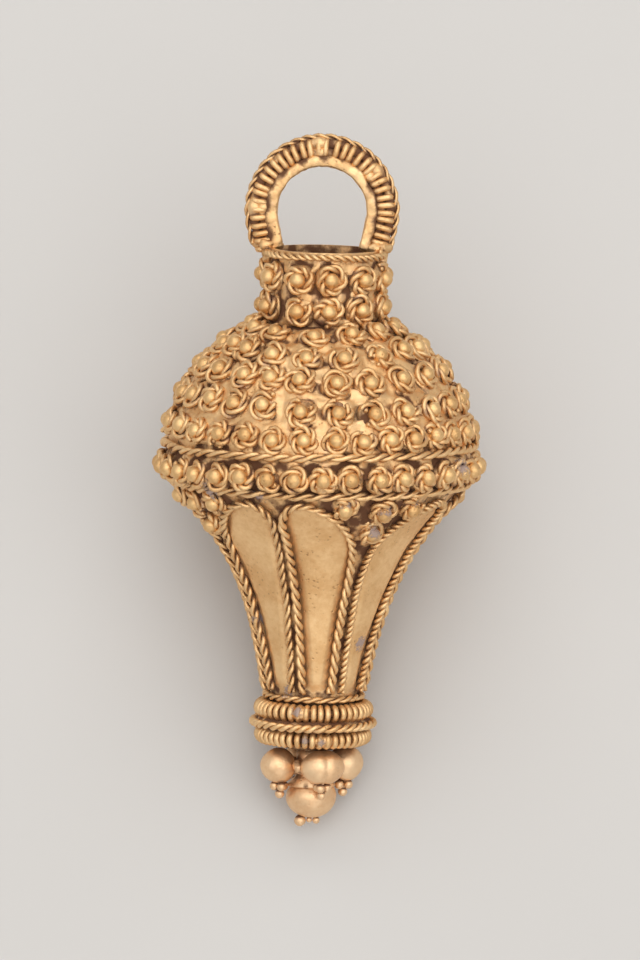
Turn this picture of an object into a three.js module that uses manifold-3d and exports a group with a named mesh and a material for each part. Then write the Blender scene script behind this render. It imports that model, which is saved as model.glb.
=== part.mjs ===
// A gold filigree pendant: a hollow round-shouldered drop with an open neck, a body that tapers in
// eight tongues, rows of granules ringed with wire, twisted wire borders, two coiled wire collars
// and a finial of gold balls. It hangs from an upright wire loop on its neck.
// The pendant is drawn upright about its own Z axis, with the belt of granules at height zero,
// and the whole is then laid on its back: it rests on a small flat worn on the belt and on the
// rearmost finial ball. All sizes are millimetres.
import * as THREE from "three";
import { mergeVertices } from "three/addons/utils/BufferGeometryUtils.js";
import Module from "manifold-3d";

// Sheet body
const sheetThickness = 0.3;
const domeRadius = 11.35; // outside of the round shoulder
const neckRadius = 4.1; // outside of the neck tube
const neckHeight = 5.6; // from the dome to the mouth
const hipRadius = 9.9; // where the belt's underside turns into the tapering body
const hipDrop = 2.4; // below the belt
const waistRadius = 3.3; // foot of the tapering body
const taperLength = 15; // from hip to waist
const taperEvenShare = 0.48; // the part of the taper that is a plain cone
const taperFlare = 3.2; // power of the rest, which flares towards the hip
const footRadius = 3.05; // narrow closed end that the collars are threaded on
const footLength = 4;
const tongueCount = 8;
const tongueHeight = 0.25; // rise of each tongue above the valley that its wires lie in
const tongueDrop = 2.4; // the tongues start to rise this far below the hip
const solderGap = 0.05; // between pieces that are soldered face to face

// Granules, each in a ring of wire
const granuleRadius = 0.6;
const granuleSeat = 0.47; // granule centre above the sheet
const ringHeight = 0.42; // wire rings above the sheet
const ringHalfWidth = 0.7;
const clusterRingRadius = 1.24; // at the sheet, to a corner
const ringSlant = 0.14; // how far a cluster's ring leans in to its crest

// Rows of granules on the dome, from the lowest up
const shoulderFirstLatitude = 15;
const shoulderLatitudeStep = 12;
const shoulderCounts = [31, 26, 22, 20, 14];
const shoulderFirstAzimuths = [-5.3, -7.5, -8.5, -4.5, -2];

// Rows of granules on the neck, measured down from the mouth
const neckRowDrops = [2.05, 4.05];
const neckRowCount = 12;
const neckRowAzimuth = 7;

// Belt
const beltCount = 35;
const beltSeat = 0.61; // the belt's granules stand further out than the others
const beltRopeRise = 1.55; // upper rope above the belt's granules
const ropeRadius = 0.33; // two strands twisted together, outside
const mouthRopeRadius = 0.3;
const fineRopeRadius = 0.26;
const lowerRopeShare = 0.45; // of the way from the belt to the hip

// Tongues and the clusters of granules between every second pair
const firstValley = -19; // azimuth of a pair of border wires with no cluster
const borderSpacing = 0.84; // between the two wires that share a valley
const borderLift = 0.1; // the wires bridge the bends of the sheet
const archShares = [0.16, 0.36, 0.57, 0.76, 0.88]; // of the way across a tongue, from its shallow side
const archDrops = [0, 0, 0.6, 1.8, 3.3]; // below the hip, at those shares
const shallowDrops = [6.6, 2.6]; // below the hip, up the shallow side
const deepDrops = [6.1, 9.6]; // below the hip, down the deep side
const archScale = 0.1; // millimetres a degree, for even steps along a border
const clusterMeet = 0.14; // neighbouring rings of a cluster run into each other by this much
const clusterLift = 0.1; // the rings bridge the sheet's bend
const clusterDrop = 0.1; // of the three upper granules, below the hip

// Collars and finial
const collarWindings = 45;
const upperCollarRadius = 0.71; // of the coil's own round section
const lowerCollarRadius = 0.67;
const collarGroove = 0.62; // between the two coils
const collarReach = 1.12; // from the foot out to the twisted wire over the groove
const ballRadius = 1.32;
const frontBallWidth = 1.62; // the ball in front is wider than it is high
const ballRingRadius = 2.64; // the four balls' centres from the axis
const ballCount = 4;
const ballFirstAzimuth = 18;
const bottomBallWidth = 1.87;
const bottomBallHeight = 1.55;
const bottomBallDrop = 2.4; // below the four balls
const pyramidGrain = 0.36;
const pyramidInset = 0.15; // the pyramids hang a little inside the balls' centres

// What is left of the pyramid under the lowest ball, from left to right
const tipGrains = [
  { radius: 0.45, x: -0.79 },
  { radius: 0.22, x: -0.1 },
  { radius: 0.28, x: 0.42 },
];

// Suspension loop
const eyeRadius = 3.3;
const eyeRise = 2.85; // eye centre above the mouth
const bandThickness = 0.72;
const bandDepth = 1.3;
const loopCoilRadius = 0.65;
const loopWindings = 40; // the feet cut the last ones short
const loopWrap = 12; // degrees that the round part runs on below the eye's middle, each side
const legLength = 3.2; // of the straight legs, before the feet are cut level
const loopRopeRadius = 0.27;

// The flat worn on the belt's two lowest granules, deep enough for their neighbours to touch too
const flatDepth = 0.42;

// Facets
const domeSegments = 24;
const domeSteps = 3;
const neckSegments = 18;
const facetsPerTongue = 3;
const beltFacets = 35;
const bandFacets = 25; // an odd number gives the crown a flat facet for a cord
const borderSteps = 10;
const postSides = 8;
const stationShares = [0, 0.24, 0.5, 0.75, 0.89, 1]; // of the taper, from the waist up
const crownCorners = 4; // in each round of a granule's corners
const crownLatitude = 25; // of those rounds, below and above the granule's middle
const bandCornerAngle = 40; // of the band's corners, seen from the granule
const ringCorners = 6; // of a cluster's rings
const crestLatitude = 53; // of the last round of corners on a cluster's granules
const hubRadius = 1e-5; // a disc's middle, closed to a hair's breadth
const weldDistance = 1e-4; // corners nearer than this are one
const octahedronSwell = Math.cbrt(Math.PI); // an octahedron with its ball's volume
const squareShare = 0.89; // half the side of a square with a round section's area
const windingDip = 0.3; // of a coil's radius, between two windings
const floorSlab = 40; // side of the blocks that cut flats and feet

const wasm = await Module();
wasm.setup();

const sheetGold = new THREE.MeshStandardMaterial({ color: 0xc9a062, metalness: 1, roughness: 0.38 });
const wireGold = new THREE.MeshStandardMaterial({ color: 0xd2a968, metalness: 1, roughness: 0.42 });
const granuleGold = new THREE.MeshStandardMaterial({ color: 0xd0a662, metalness: 1, roughness: 0.35 });
const finialGold = new THREE.MeshStandardMaterial({ color: 0xdcb47c, metalness: 1, roughness: 0.33 });

// Azimuth is in degrees, 0 at the front and positive to the right, seen from outside.
function around(azimuth, radius, z) {
  const angle = THREE.MathUtils.degToRad(azimuth);
  return new THREE.Vector3(radius * Math.sin(angle), -radius * Math.cos(angle), z);
}

// A geometry's bare positions, with the vertices that coincide joined.
function welded(geometry) {
  const bare = geometry.clone();
  bare.deleteAttribute("normal");
  bare.deleteAttribute("uv");
  return mergeVertices(bare, weldDistance);
}

function solidOf(geometry) {
  const joined = welded(geometry);
  return new wasm.Manifold(
    new wasm.Mesh({
      numProp: 3,
      vertProperties: new Float32Array(joined.attributes.position.array),
      triVerts: new Uint32Array(joined.index.array),
    }),
  );
}

function geometryOf(solid) {
  const mesh = solid.getMesh();
  return new THREE.BufferGeometry()
    .setAttribute("position", new THREE.BufferAttribute(new Float32Array(mesh.vertProperties), 3))
    .setIndex(new THREE.BufferAttribute(new Uint32Array(mesh.triVerts), 1));
}

function fused(geometries) {
  return geometryOf(geometries.map(solidOf).reduce((all, next) => all.add(next)));
}

function cutBy(geometry, block) {
  return geometryOf(solidOf(geometry).subtract(solidOf(block)));
}

// Triangles over a list of points.
function meshOf(points, faces) {
  const positions = new Float32Array(points.flatMap((p) => [p.x, p.y, p.z]));
  return new THREE.BufferGeometry()
    .setAttribute("position", new THREE.BufferAttribute(positions, 3))
    .setIndex(faces.flat());
}

// A skin over sections of the same number of corners, one after another, with flat ends.
function skinned(sections) {
  const corners = sections[0].length;
  const last = corners * (sections.length - 1);
  const faces = [];
  for (let start = 0; start < last; start += corners)
    for (let j = 0; j < corners; j++) {
      const [a, b] = [start + j, start + ((j + 1) % corners)];
      faces.push([a, b, b + corners], [a, b + corners, a + corners]);
    }
  for (let j = 1; j < corners - 1; j++) faces.push([0, j + 1, j], [last, last + j, last + j + 1]);
  return meshOf(sections.flat(), faces);
}

// A profile of [radius, z] points turned about the axis, with its own radius at each azimuth.
// The profile runs from the axis or closes on itself, and reads upwards on the outside.
function turned(profile, segments, startAzimuth, swell = () => 0) {
  const points = [];
  const faces = [];
  const rows = profile.length;
  for (let i = 0; i < segments; i++) {
    const azimuth = startAzimuth + (i * 360) / segments;
    for (const [radius, z, share = 0] of profile)
      points.push(around(azimuth, radius + share * swell(azimuth, z), z));
  }
  for (let i = 0; i < segments; i++) {
    const here = i * rows;
    const next = ((i + 1) % segments) * rows;
    for (let j = 0; j < rows; j++) {
      const k = (j + 1) % rows;
      faces.push([here + j, next + j, next + k], [here + j, next + k, here + k]);
    }
  }
  return meshOf(points, faces);
}

const waistZ = -hipDrop - taperLength;
const footZ = waistZ - footLength;

// The tapering sheet's stations, from the waist up, with straight facets between them.
const taperStations = stationShares.map((share) => {
  const flare = taperEvenShare * share + (1 - taperEvenShare) * share ** taperFlare;
  return new THREE.Vector2(waistRadius + (hipRadius - waistRadius) * flare, waistZ + taperLength * share);
});

// The sheet's radius from the waist up to the belt.
const sheetStations = [...taperStations, new THREE.Vector2(domeRadius, 0)];

function taperRadius(z) {
  const above = THREE.MathUtils.clamp(
    sheetStations.findIndex((station) => station.y >= z),
    1,
    sheetStations.length - 1,
  );
  const [low, high] = [sheetStations[above - 1], sheetStations[above]];
  return THREE.MathUtils.mapLinear(z, low.y, high.y, low.x, high.x);
}

// How fast the tapering sheet widens with height, over one granule.
function taperSlope(z) {
  return (taperRadius(z) - taperRadius(z - granuleRadius)) / granuleRadius;
}

// The height that is reached by going a distance down the tapering sheet.
function downTaper(z, distance) {
  const strides = 40;
  let height = z;
  for (let i = 0; i < strides; i++) height -= distance / strides / Math.hypot(1, taperSlope(height));
  return height;
}

// How far the tongues rise above their valleys: nothing at the waist and beside the clusters.
// Across a tongue, one facet rises, one is level and one falls.
function tongueRise(azimuth, z) {
  const share = THREE.MathUtils.clamp((z - waistZ) / (taperLength - tongueDrop), 0, 1);
  const across = THREE.MathUtils.euclideanModulo(((azimuth - firstValley) * tongueCount) / 360, 1);
  const ramp = Math.min(1, facetsPerTongue * Math.min(across, 1 - across));
  return tongueHeight * ramp * Math.sqrt(Math.sin(Math.PI * share));
}

// A point above the tapering sheet.
function overSheet(azimuth, z, lift) {
  const slope = taperSlope(z);
  const length = Math.hypot(1, slope);
  const radius = taperRadius(z) + tongueRise(azimuth, z);
  return around(azimuth, radius + lift / length, z - (lift * slope) / length);
}

function dome() {
  const outer = [];
  const inner = [];
  const inside = domeRadius - sheetThickness;
  const holeRadius = neckRadius + solderGap;
  for (let i = 0; i <= domeSteps; i++) {
    const outerLatitude = (Math.acos(holeRadius / domeRadius) * i) / domeSteps;
    const innerLatitude = (Math.acos(holeRadius / inside) * i) / domeSteps;
    outer.push([domeRadius * Math.cos(outerLatitude), solderGap + domeRadius * Math.sin(outerLatitude)]);
    inner.push([inside * Math.cos(innerLatitude), solderGap + inside * Math.sin(innerLatitude)]);
  }
  return turned([...outer, ...inner.reverse()], domeSegments, 0);
}

const neckBase = Math.sqrt(domeRadius ** 2 - neckRadius ** 2);
const mouthZ = neckBase + neckHeight;

function neckTube() {
  const inside = neckRadius - sheetThickness;
  const bottom = neckBase - sheetThickness;
  const profile = [
    [neckRadius, bottom],
    [neckRadius, mouthZ],
    [inside, mouthZ],
    [inside, bottom],
  ];
  return turned(profile, neckSegments, 0);
}

// The tapering sheet, its tongues and its closed foot.
function taperingBody() {
  const tongues = taperStations.slice(1, -1).map((station) => [station.x, station.y, 1]);
  const outside = [
    [footRadius, footZ],
    [footRadius, waistZ - solderGap],
    [waistRadius, waistZ],
    ...tongues,
    [hipRadius, -hipDrop],
    [domeRadius, 0],
  ];
  const inside = outside
    .filter((point, index) => index > 1)
    .map(([radius, z, share = 0]) => [radius - sheetThickness, z, share]);
  const floor = [footRadius - sheetThickness, footZ + sheetThickness];
  const shell = [...outside, ...inside.reverse(), floor];
  return fused([
    turned(shell, facetsPerTongue * tongueCount, firstValley, tongueRise),
    turned(discProfile(footRadius - sheetThickness / 2, footZ, footZ + sheetThickness), postSides, 0),
  ]);
}

function discProfile(radius, low, high) {
  return [
    [hubRadius, low],
    [radius, low],
    [radius, high],
    [hubRadius, high],
  ];
}

// Two rounds of corners, the inner one facing the outer, joined by triangles in order of angle.
function zip(inner, outer) {
  const faces = [];
  let i = 0;
  let j = 0;
  while (i < outer.length || j < inner.length) {
    const outerAngle = outer[(i + 1) % outer.length].angle + (i + 1 >= outer.length ? 360 : 0);
    const innerAngle = inner[(j + 1) % inner.length].angle + (j + 1 >= inner.length ? 360 : 0);
    const at = inner[j % inner.length].index;
    const from = outer[i % outer.length].index;
    if (j >= inner.length || (i < outer.length && outerAngle <= innerAngle)) {
      faces.push([at, from, outer[(i + 1) % outer.length].index]);
      i++;
    } else {
      faces.push([at, from, inner[(j + 1) % inner.length].index]);
      j++;
    }
  }
  return faces;
}

// A row of granules round the pendant, one closed band: each granule stands in its ring of wire,
// and neighbouring rings touch. The seat is a point of the sheet's outline and its latitude.
function granuleRow({ count, firstAzimuth, seatRadius, seatZ, latitude, seat = granuleSeat }) {
  const tilt = THREE.MathUtils.degToRad(latitude);
  const half = 180 / count;
  const spread = 1 / Math.cos(Math.PI / count); // the band's flats stay clear of the sheet
  const crownAngle = THREE.MathUtils.degToRad(crownLatitude);
  const crownRadius = granuleRadius * Math.cos(crownAngle);
  const points = [];
  const faces = [];
  const onSheet = (azimuth, up, out) =>
    around(
      azimuth,
      (seatRadius + out * Math.cos(tilt) - up * Math.sin(tilt)) * spread,
      seatZ + out * Math.sin(tilt) + up * Math.cos(tilt),
    );
  for (let i = 0; i < count; i++) {
    const edge = firstAzimuth - half + (i * 360) / count;
    points.push(onSheet(edge, -ringHalfWidth, solderGap));
    points.push(onSheet(edge, 0, ringHeight));
    points.push(onSheet(edge, ringHalfWidth, solderGap));
  }
  for (let i = 0; i < count; i++) {
    const azimuth = firstAzimuth + (i * 360) / count;
    const turn = THREE.MathUtils.degToRad(azimuth);
    const side = new THREE.Vector3(Math.cos(turn), Math.sin(turn), 0);
    const out = around(azimuth, Math.cos(tilt), Math.sin(tilt));
    const up = new THREE.Vector3().crossVectors(out, side);
    const centre = around(
      azimuth,
      seatRadius + (seat + solderGap) * Math.cos(tilt),
      seatZ + (seat + solderGap) * Math.sin(tilt),
    );
    const [lowL, crestL, highL] = [0, 1, 2].map((k) => 3 * i + k);
    const [lowR, crestR, highR] = [0, 1, 2].map((k) => 3 * ((i + 1) % count) + k);
    const base = points.length;
    for (const [rise, shift] of [[-1, 0], [1, 0.5]])
      for (let k = 0; k < crownCorners; k++) {
        const angle = ((k + shift) * 2 * Math.PI) / crownCorners;
        points.push(
          centre
            .clone()
            .addScaledVector(side, crownRadius * Math.cos(angle))
            .addScaledVector(up, crownRadius * Math.sin(angle))
            .addScaledVector(out, rise * granuleRadius * Math.sin(crownAngle)),
        );
      }
    points.push(centre.clone().addScaledVector(out, granuleRadius));
    const apex = points.length - 1;
    const lower = Array.from({ length: crownCorners }, (_, k) => ({
      index: base + k,
      angle: (k * 360) / crownCorners,
    }));
    const rim = [
      { index: crestR, angle: 0 },
      { index: highR, angle: bandCornerAngle },
      { index: highL, angle: 180 - bandCornerAngle },
      { index: crestL, angle: 180 },
      { index: lowL, angle: 180 + bandCornerAngle },
      { index: lowR, angle: 360 - bandCornerAngle },
    ];
    faces.push(...zip(lower, rim));
    for (let k = 0; k < crownCorners; k++) {
      const next = (k + 1) % crownCorners;
      const high = base + crownCorners + k;
      const highNext = base + crownCorners + next;
      faces.push([base + k, base + next, high], [high, base + next, highNext], [high, highNext, apex]);
    }
    faces.push([lowL, highL, highR], [lowL, highR, lowR]);
  }
  return meshOf(points, faces);
}

// One granule in its own ring of wire, seated on a point of the sheet and turned about its normal.
function seatedGranule(azimuth, seatRadius, seatZ, normal, turn) {
  const crest = THREE.MathUtils.degToRad(crestLatitude);
  const middle = clusterLift + granuleSeat;
  const profile = [
    new THREE.Vector2(0, clusterLift),
    new THREE.Vector2(clusterRingRadius, clusterLift),
    new THREE.Vector2(clusterRingRadius - ringSlant, clusterLift + ringHeight),
    new THREE.Vector2(granuleRadius, middle),
    new THREE.Vector2(granuleRadius * Math.cos(crest), middle + granuleRadius * Math.sin(crest)),
    new THREE.Vector2(0, middle + granuleRadius),
  ];
  const granule = new THREE.LatheGeometry(profile, ringCorners, turn);
  const out = around(azimuth, normal.x, normal.y);
  const side = around(azimuth + 90, 1, 0);
  const place = new THREE.Matrix4()
    .makeBasis(side, out, side.clone().cross(out))
    .setPosition(around(azimuth, seatRadius, seatZ));
  return granule.applyMatrix4(place);
}

// Three granules under the belt and one below them, where two tongues part. The upper rings meet
// corner to corner, and the lowest ring meets the middle one corner to flat.
function granuleCluster(azimuth) {
  const seat = (offset, z, turn) => {
    const normal = new THREE.Vector2(1, -taperSlope(z)).normalize();
    return seatedGranule(azimuth + offset, taperRadius(z), z, normal, turn);
  };
  const halfCorner = Math.PI / ringCorners;
  const topZ = -hipDrop - clusterDrop;
  const spread = 2 * Math.asin((clusterRingRadius - clusterMeet / 2) / taperRadius(topZ));
  const tipZ = downTaper(topZ, clusterRingRadius * (1 + Math.cos(halfCorner)) - clusterMeet);
  const top = [-1, 0, 1].map((k) => seat(k * THREE.MathUtils.radToDeg(spread), topZ, halfCorner));
  return fused([...top, seat(0, tipZ, 0)]);
}

// A twisted wire laid round the pendant on a seat, as a ring of triangular section.
function ropeRing(seatRadius, seatZ, latitude, radius, facets) {
  const tilt = THREE.MathUtils.degToRad(latitude);
  const spread = 1 / Math.cos(Math.PI / facets);
  const corner = (out, along) => [
    (seatRadius + out * Math.cos(tilt) - along * Math.sin(tilt)) * spread,
    seatZ + out * Math.sin(tilt) + along * Math.cos(tilt),
  ];
  const halfWidth = (2 / Math.sqrt(3)) * radius;
  const section = [
    corner(solderGap, -halfWidth),
    corner(solderGap + 2 * radius, 0),
    corner(solderGap, halfWidth),
  ];
  return turned(section, facets, 0);
}

// A wire wound into a coil and bent into a ring: its outside dips between the windings.
function coilRing(radius, thickness, windings) {
  const half = squareShare * thickness;
  const section = [
    [radius - half, 0],
    [radius + half, -half, 1],
    [radius + half, half, 1],
  ];
  const dip = (azimuth) => {
    const phase = THREE.MathUtils.degToRad(azimuth * windings);
    return windingDip * thickness * (Math.cos(phase) - 1) * 0.5;
  };
  return turned(section, 2 * windings, 0, dip);
}

// The twisted wire that borders one tongue: up the shallow side, over the arch and down the deep
// side, beside the granule cluster. Its foot follows the sheet, and its crest is one wire high.
function tongueBorder(shallowAzimuth, direction) {
  const pitch = 360 / tongueCount;
  const lowest = waistZ + 2 * fineRopeRadius + 2 * solderGap;
  const leg = (share, z) => {
    const inset = THREE.MathUtils.radToDeg(borderSpacing / 2 / taperRadius(z));
    return new THREE.Vector2(share === 0 ? inset : pitch - inset, z);
  };
  const arch = archShares.map((share, i) => new THREE.Vector2(pitch * share, -hipDrop - archDrops[i]));
  const flat = [
    leg(0, lowest),
    ...shallowDrops.map((drop) => leg(0, -hipDrop - drop)),
    ...arch,
    ...deepDrops.map((drop) => leg(1, -hipDrop - drop)),
    leg(1, lowest),
  ].map((point) => new THREE.Vector2(point.x * archScale, point.y));
  const path = new THREE.SplineCurve(flat);
  const halfWidth = (2 / Math.sqrt(3)) * ropeRadius;
  const sections = [];
  for (let i = 0; i <= borderSteps; i++) {
    const at = path.getPointAt(i / borderSteps);
    const ahead = path.getTangentAt(i / borderSteps);
    const perDegree = THREE.MathUtils.degToRad(taperRadius(at.y));
    const corners = [
      [-1, borderLift],
      [0, borderLift + 2 * ropeRadius],
      [1, borderLift],
    ];
    sections.push(
      corners.map(([side, lift]) => {
        const z = at.y + side * halfWidth * ahead.x;
        const across = at.x / archScale - (side * halfWidth * ahead.y) / perDegree;
        return overSheet(shallowAzimuth + direction * across, z, lift);
      }),
    );
  }
  return skinned(direction < 0 ? sections : sections.toReversed());
}

const goldPieces = new THREE.Group();

function add(name, geometry, material, position = [0, 0, 0]) {
  const mesh = new THREE.Mesh(geometry, material);
  mesh.name = name;
  mesh.position.set(...position);
  goldPieces.add(mesh);
}

// How the pendant lies: the lean that sets the belt's flat and the rear finial ball on one plane.
const ballZ = footZ - solderGap - ballRadius;
const rearAzimuth = ballFirstAzimuth + 180;
const rearReach = -ballRingRadius * Math.cos(THREE.MathUtils.degToRad(rearAzimuth));
const beltReach = (domeRadius + solderGap + beltSeat) * Math.cos(Math.PI / beltCount);
const restRun = Math.hypot(beltReach - rearReach, -ballZ);
const lean =
  Math.acos((ballRadius - granuleRadius + flatDepth) / restRun) - Math.atan2(-ballZ, beltReach - rearReach);
const restHeight = beltReach * Math.cos(lean) + granuleRadius - flatDepth;

// The tabletop as a block, in the pendant's upright frame.
function tabletop() {
  const block = new THREE.BoxGeometry(floorSlab, floorSlab, floorSlab);
  block.translate(0, restHeight + floorSlab / 2, 0);
  return block.rotateX(-lean);
}

function addBody() {
  add("neck_tube", neckTube(), sheetGold);
  add("shoulder_dome", dome(), sheetGold);
  add("tapering_body", taperingBody(), sheetGold);
}

function addGranuleRows() {
  neckRowDrops.forEach((drop, i) =>
    add(
      `neck_granule_row_${i + 1}`,
      granuleRow({
        count: neckRowCount,
        firstAzimuth: neckRowAzimuth,
        seatRadius: neckRadius,
        seatZ: mouthZ - drop,
        latitude: 0,
      }),
      granuleGold,
    ),
  );
  shoulderCounts.forEach((count, i) => {
    const latitude = shoulderFirstLatitude + i * shoulderLatitudeStep;
    const angle = THREE.MathUtils.degToRad(latitude);
    add(
      `shoulder_granule_row_${i + 1}`,
      granuleRow({
        count,
        firstAzimuth: shoulderFirstAzimuths[i],
        seatRadius: domeRadius * Math.cos(angle),
        seatZ: solderGap + domeRadius * Math.sin(angle),
        latitude,
      }),
      granuleGold,
    );
  });
  const belt = granuleRow({
    count: beltCount,
    firstAzimuth: 0,
    seatRadius: domeRadius,
    seatZ: 0,
    latitude: 0,
    seat: beltSeat,
  });
  add("belt_granule_row", cutBy(belt, tabletop()), granuleGold);
}

function addRopes() {
  const upperLatitude = THREE.MathUtils.radToDeg(Math.asin(beltRopeRise / domeRadius));
  const upperSeat = Math.sqrt(domeRadius ** 2 - beltRopeRise ** 2);
  add(
    "belt_rope_upper",
    ropeRing(upperSeat, beltRopeRise, upperLatitude, ropeRadius, beltFacets),
    wireGold,
  );
  const lowerSeat = THREE.MathUtils.lerp(domeRadius, hipRadius, lowerRopeShare);
  const lowerLatitude = -THREE.MathUtils.radToDeg(Math.atan2(domeRadius - hipRadius, hipDrop));
  add(
    "belt_rope_lower",
    ropeRing(lowerSeat, -hipDrop * lowerRopeShare, lowerLatitude, ropeRadius, beltFacets),
    wireGold,
  );
  add("mouth_rope", ropeRing(neckRadius, mouthZ - ropeRadius, 0, mouthRopeRadius, neckSegments), wireGold);
  add("waist_rope", ropeRing(waistRadius, waistZ, 0, fineRopeRadius, neckSegments), wireGold);
}

function addTongues() {
  const pitch = 360 / tongueCount;
  for (let pair = 0; pair < tongueCount / 2; pair++) {
    const valley = firstValley + 2 * pair * pitch;
    add(`tongue_border_${2 * pair + 1}`, tongueBorder(valley, -1), wireGold);
    add(`tongue_border_${2 * pair + 2}`, tongueBorder(valley, 1), wireGold);
    add(`granule_cluster_${pair + 1}`, granuleCluster(valley + pitch), granuleGold);
  }
}

// Two coiled collars on the foot with a twisted wire in the groove between them.
function addCollars() {
  const upperZ = waistZ - fineRopeRadius - solderGap - upperCollarRadius;
  const lowerZ = upperZ - upperCollarRadius - collarGroove - lowerCollarRadius;
  const upperRing = footRadius + solderGap + upperCollarRadius;
  const lowerRing = footRadius + solderGap + lowerCollarRadius;
  add("collar_coil_upper", coilRing(upperRing, upperCollarRadius, collarWindings), wireGold, [0, 0, upperZ]);
  add("collar_coil_lower", coilRing(lowerRing, lowerCollarRadius, collarWindings), wireGold, [0, 0, lowerZ]);
  const grooveZ = upperZ - upperCollarRadius - collarGroove / 2;
  add("collar_rope", ropeRing(footRadius + collarReach, grooveZ, 0, ropeRadius, neckSegments), wireGold);
}

// Four touching granules piled as a pyramid that points down, at the corners of a tetrahedron.
function grainPyramid() {
  const baseRadius = (2 * pyramidGrain) / Math.sqrt(3);
  const drop = pyramidGrain * Math.sqrt(8 / 3);
  const grain = () => new THREE.OctahedronGeometry(pyramidGrain * octahedronSwell);
  const base = [0, 1, 2].map((k) =>
    grain()
      .translate(baseRadius, 0, 0)
      .rotateZ((2 * Math.PI * k) / 3),
  );
  return fused([...base, grain().translate(0, 0, -drop)]);
}

function addFinial() {
  const bottomZ = ballZ - bottomBallDrop;
  const postRadius = ballRingRadius - ballRadius - solderGap;
  const postBottom = bottomZ + bottomBallHeight + solderGap;
  const postTop = footZ - solderGap;
  const postAzimuth = ballFirstAzimuth + 180 / ballCount;
  const post = turned(discProfile(postRadius, postBottom, postTop), postSides, postAzimuth);
  add("finial_post", post, finialGold);
  const grainDrop = Math.sqrt((ballRadius + pyramidGrain + solderGap) ** 2 - (4 / 3) * pyramidGrain ** 2);
  for (let i = 0; i < ballCount; i++) {
    const azimuth = ballFirstAzimuth + (i * 360) / ballCount;
    const ball = new THREE.IcosahedronGeometry(ballRadius, 1);
    if (i === 0) ball.scale(frontBallWidth / ballRadius, 1, 1);
    ball.rotateZ(THREE.MathUtils.degToRad(azimuth));
    const centre = around(azimuth, ballRingRadius, ballZ);
    add(`finial_ball_${i + 1}`, ball, finialGold, centre.toArray());
    const foot = around(azimuth, ballRingRadius - pyramidInset, ballZ - grainDrop);
    const grains = grainPyramid().rotateZ(THREE.MathUtils.degToRad(azimuth));
    add(`grain_pyramid_${i + 1}`, grains, finialGold, foot.toArray());
  }
  const bottom = new THREE.IcosahedronGeometry(bottomBallWidth, 1);
  bottom.scale(1, 1, bottomBallHeight / bottomBallWidth);
  add("finial_ball_bottom", bottom, finialGold, [0, 0, bottomZ]);
  const under = (x) => bottomZ - bottomBallHeight * Math.sqrt(1 - (x / bottomBallWidth) ** 2);
  tipGrains.forEach(({ radius, x }, i) => {
    const grain = new THREE.IcosahedronGeometry(radius, 0);
    add(`tip_grain_${i + 1}`, grain, finialGold, [x, 0, under(x) - radius - solderGap]);
  });
}

// A section of [distance from the eye's centre, depth] points carried along the loop: round the
// eye and down its two legs. Lengths along the loop are measured in the middle of the coil.
const loopMiddle = eyeRadius + bandThickness + solderGap + loopCoilRadius;

function loopSweep(section, steps, dip = () => 0) {
  const bend = Math.PI / 2 + THREE.MathUtils.degToRad(loopWrap);
  const half = loopMiddle * bend + legLength;
  const sections = [];
  for (let i = 0; i <= steps; i++) {
    const along = half * ((2 * i) / steps - 1);
    const angle = THREE.MathUtils.clamp(along / loopMiddle, -bend, bend);
    const past = along - angle * loopMiddle;
    sections.push(
      section.map(([distance, depth, share = 0]) => {
        const out = distance + share * dip(i);
        return new THREE.Vector3(
          out * Math.sin(angle) + past * Math.cos(angle),
          depth,
          mouthZ + eyeRise + out * Math.cos(angle) - past * Math.sin(angle),
        );
      }),
    );
  }
  const below = new THREE.BoxGeometry(floorSlab, floorSlab, floorSlab);
  below.translate(0, 0, mouthZ + solderGap - floorSlab / 2);
  return cutBy(skinned(sections), below);
}

// The loop stands on the mouth, and everything in it ends on one level there.
function addLoop() {
  const bandOuter = eyeRadius + bandThickness;
  const band = [
    [eyeRadius, -bandDepth / 2],
    [eyeRadius, bandDepth / 2],
    [bandOuter, bandDepth / 2],
    [bandOuter, -bandDepth / 2],
  ];
  add("loop_band", loopSweep(band, bandFacets), wireGold);
  const half = squareShare * loopCoilRadius;
  const coil = [
    [loopMiddle - half, 0],
    [loopMiddle + half, half, 1],
    [loopMiddle + half, -half, 1],
  ];
  const dip = (step) => (step % 2 === 0 ? 0 : -windingDip * loopCoilRadius);
  add("loop_coil", loopSweep(coil, 2 * loopWindings, dip), wireGold);
  const ropeSeat = loopMiddle + half + solderGap;
  const halfWidth = (2 / Math.sqrt(3)) * loopRopeRadius;
  const rope = [
    [ropeSeat, -halfWidth],
    [ropeSeat, halfWidth],
    [ropeSeat + 2 * loopRopeRadius, 0],
  ];
  add("loop_rope", loopSweep(rope, bandFacets), wireGold);
}

addBody();
addGranuleRows();
addRopes();
addTongues();
addCollars();
addFinial();
addLoop();

goldPieces.rotation.x = lean - Math.PI / 2;

// The origin is on the tabletop, under the middle of the lying pendant.
const pendant = new THREE.Group();
pendant.add(goldPieces);
const box = new THREE.Box3().setFromObject(pendant, true);
const middle = box.getCenter(new THREE.Vector3());
goldPieces.position.set(-middle.x, -middle.y, -box.min.z);

export default pendant;
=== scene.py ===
"""Looks of a gold filigree pendant that lies on its back.

Every piece is drawn in the pendant's own upright frame, in millimetres: its axis is +Z, its front
is -Y and the belt of granules is at height zero. Lie.to_table then carries it onto the table, in
metres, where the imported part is.
"""

import logging
from dataclasses import dataclass, field
from enum import Enum

import bpy
import numpy as np
from mathutils import Matrix, Vector


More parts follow.
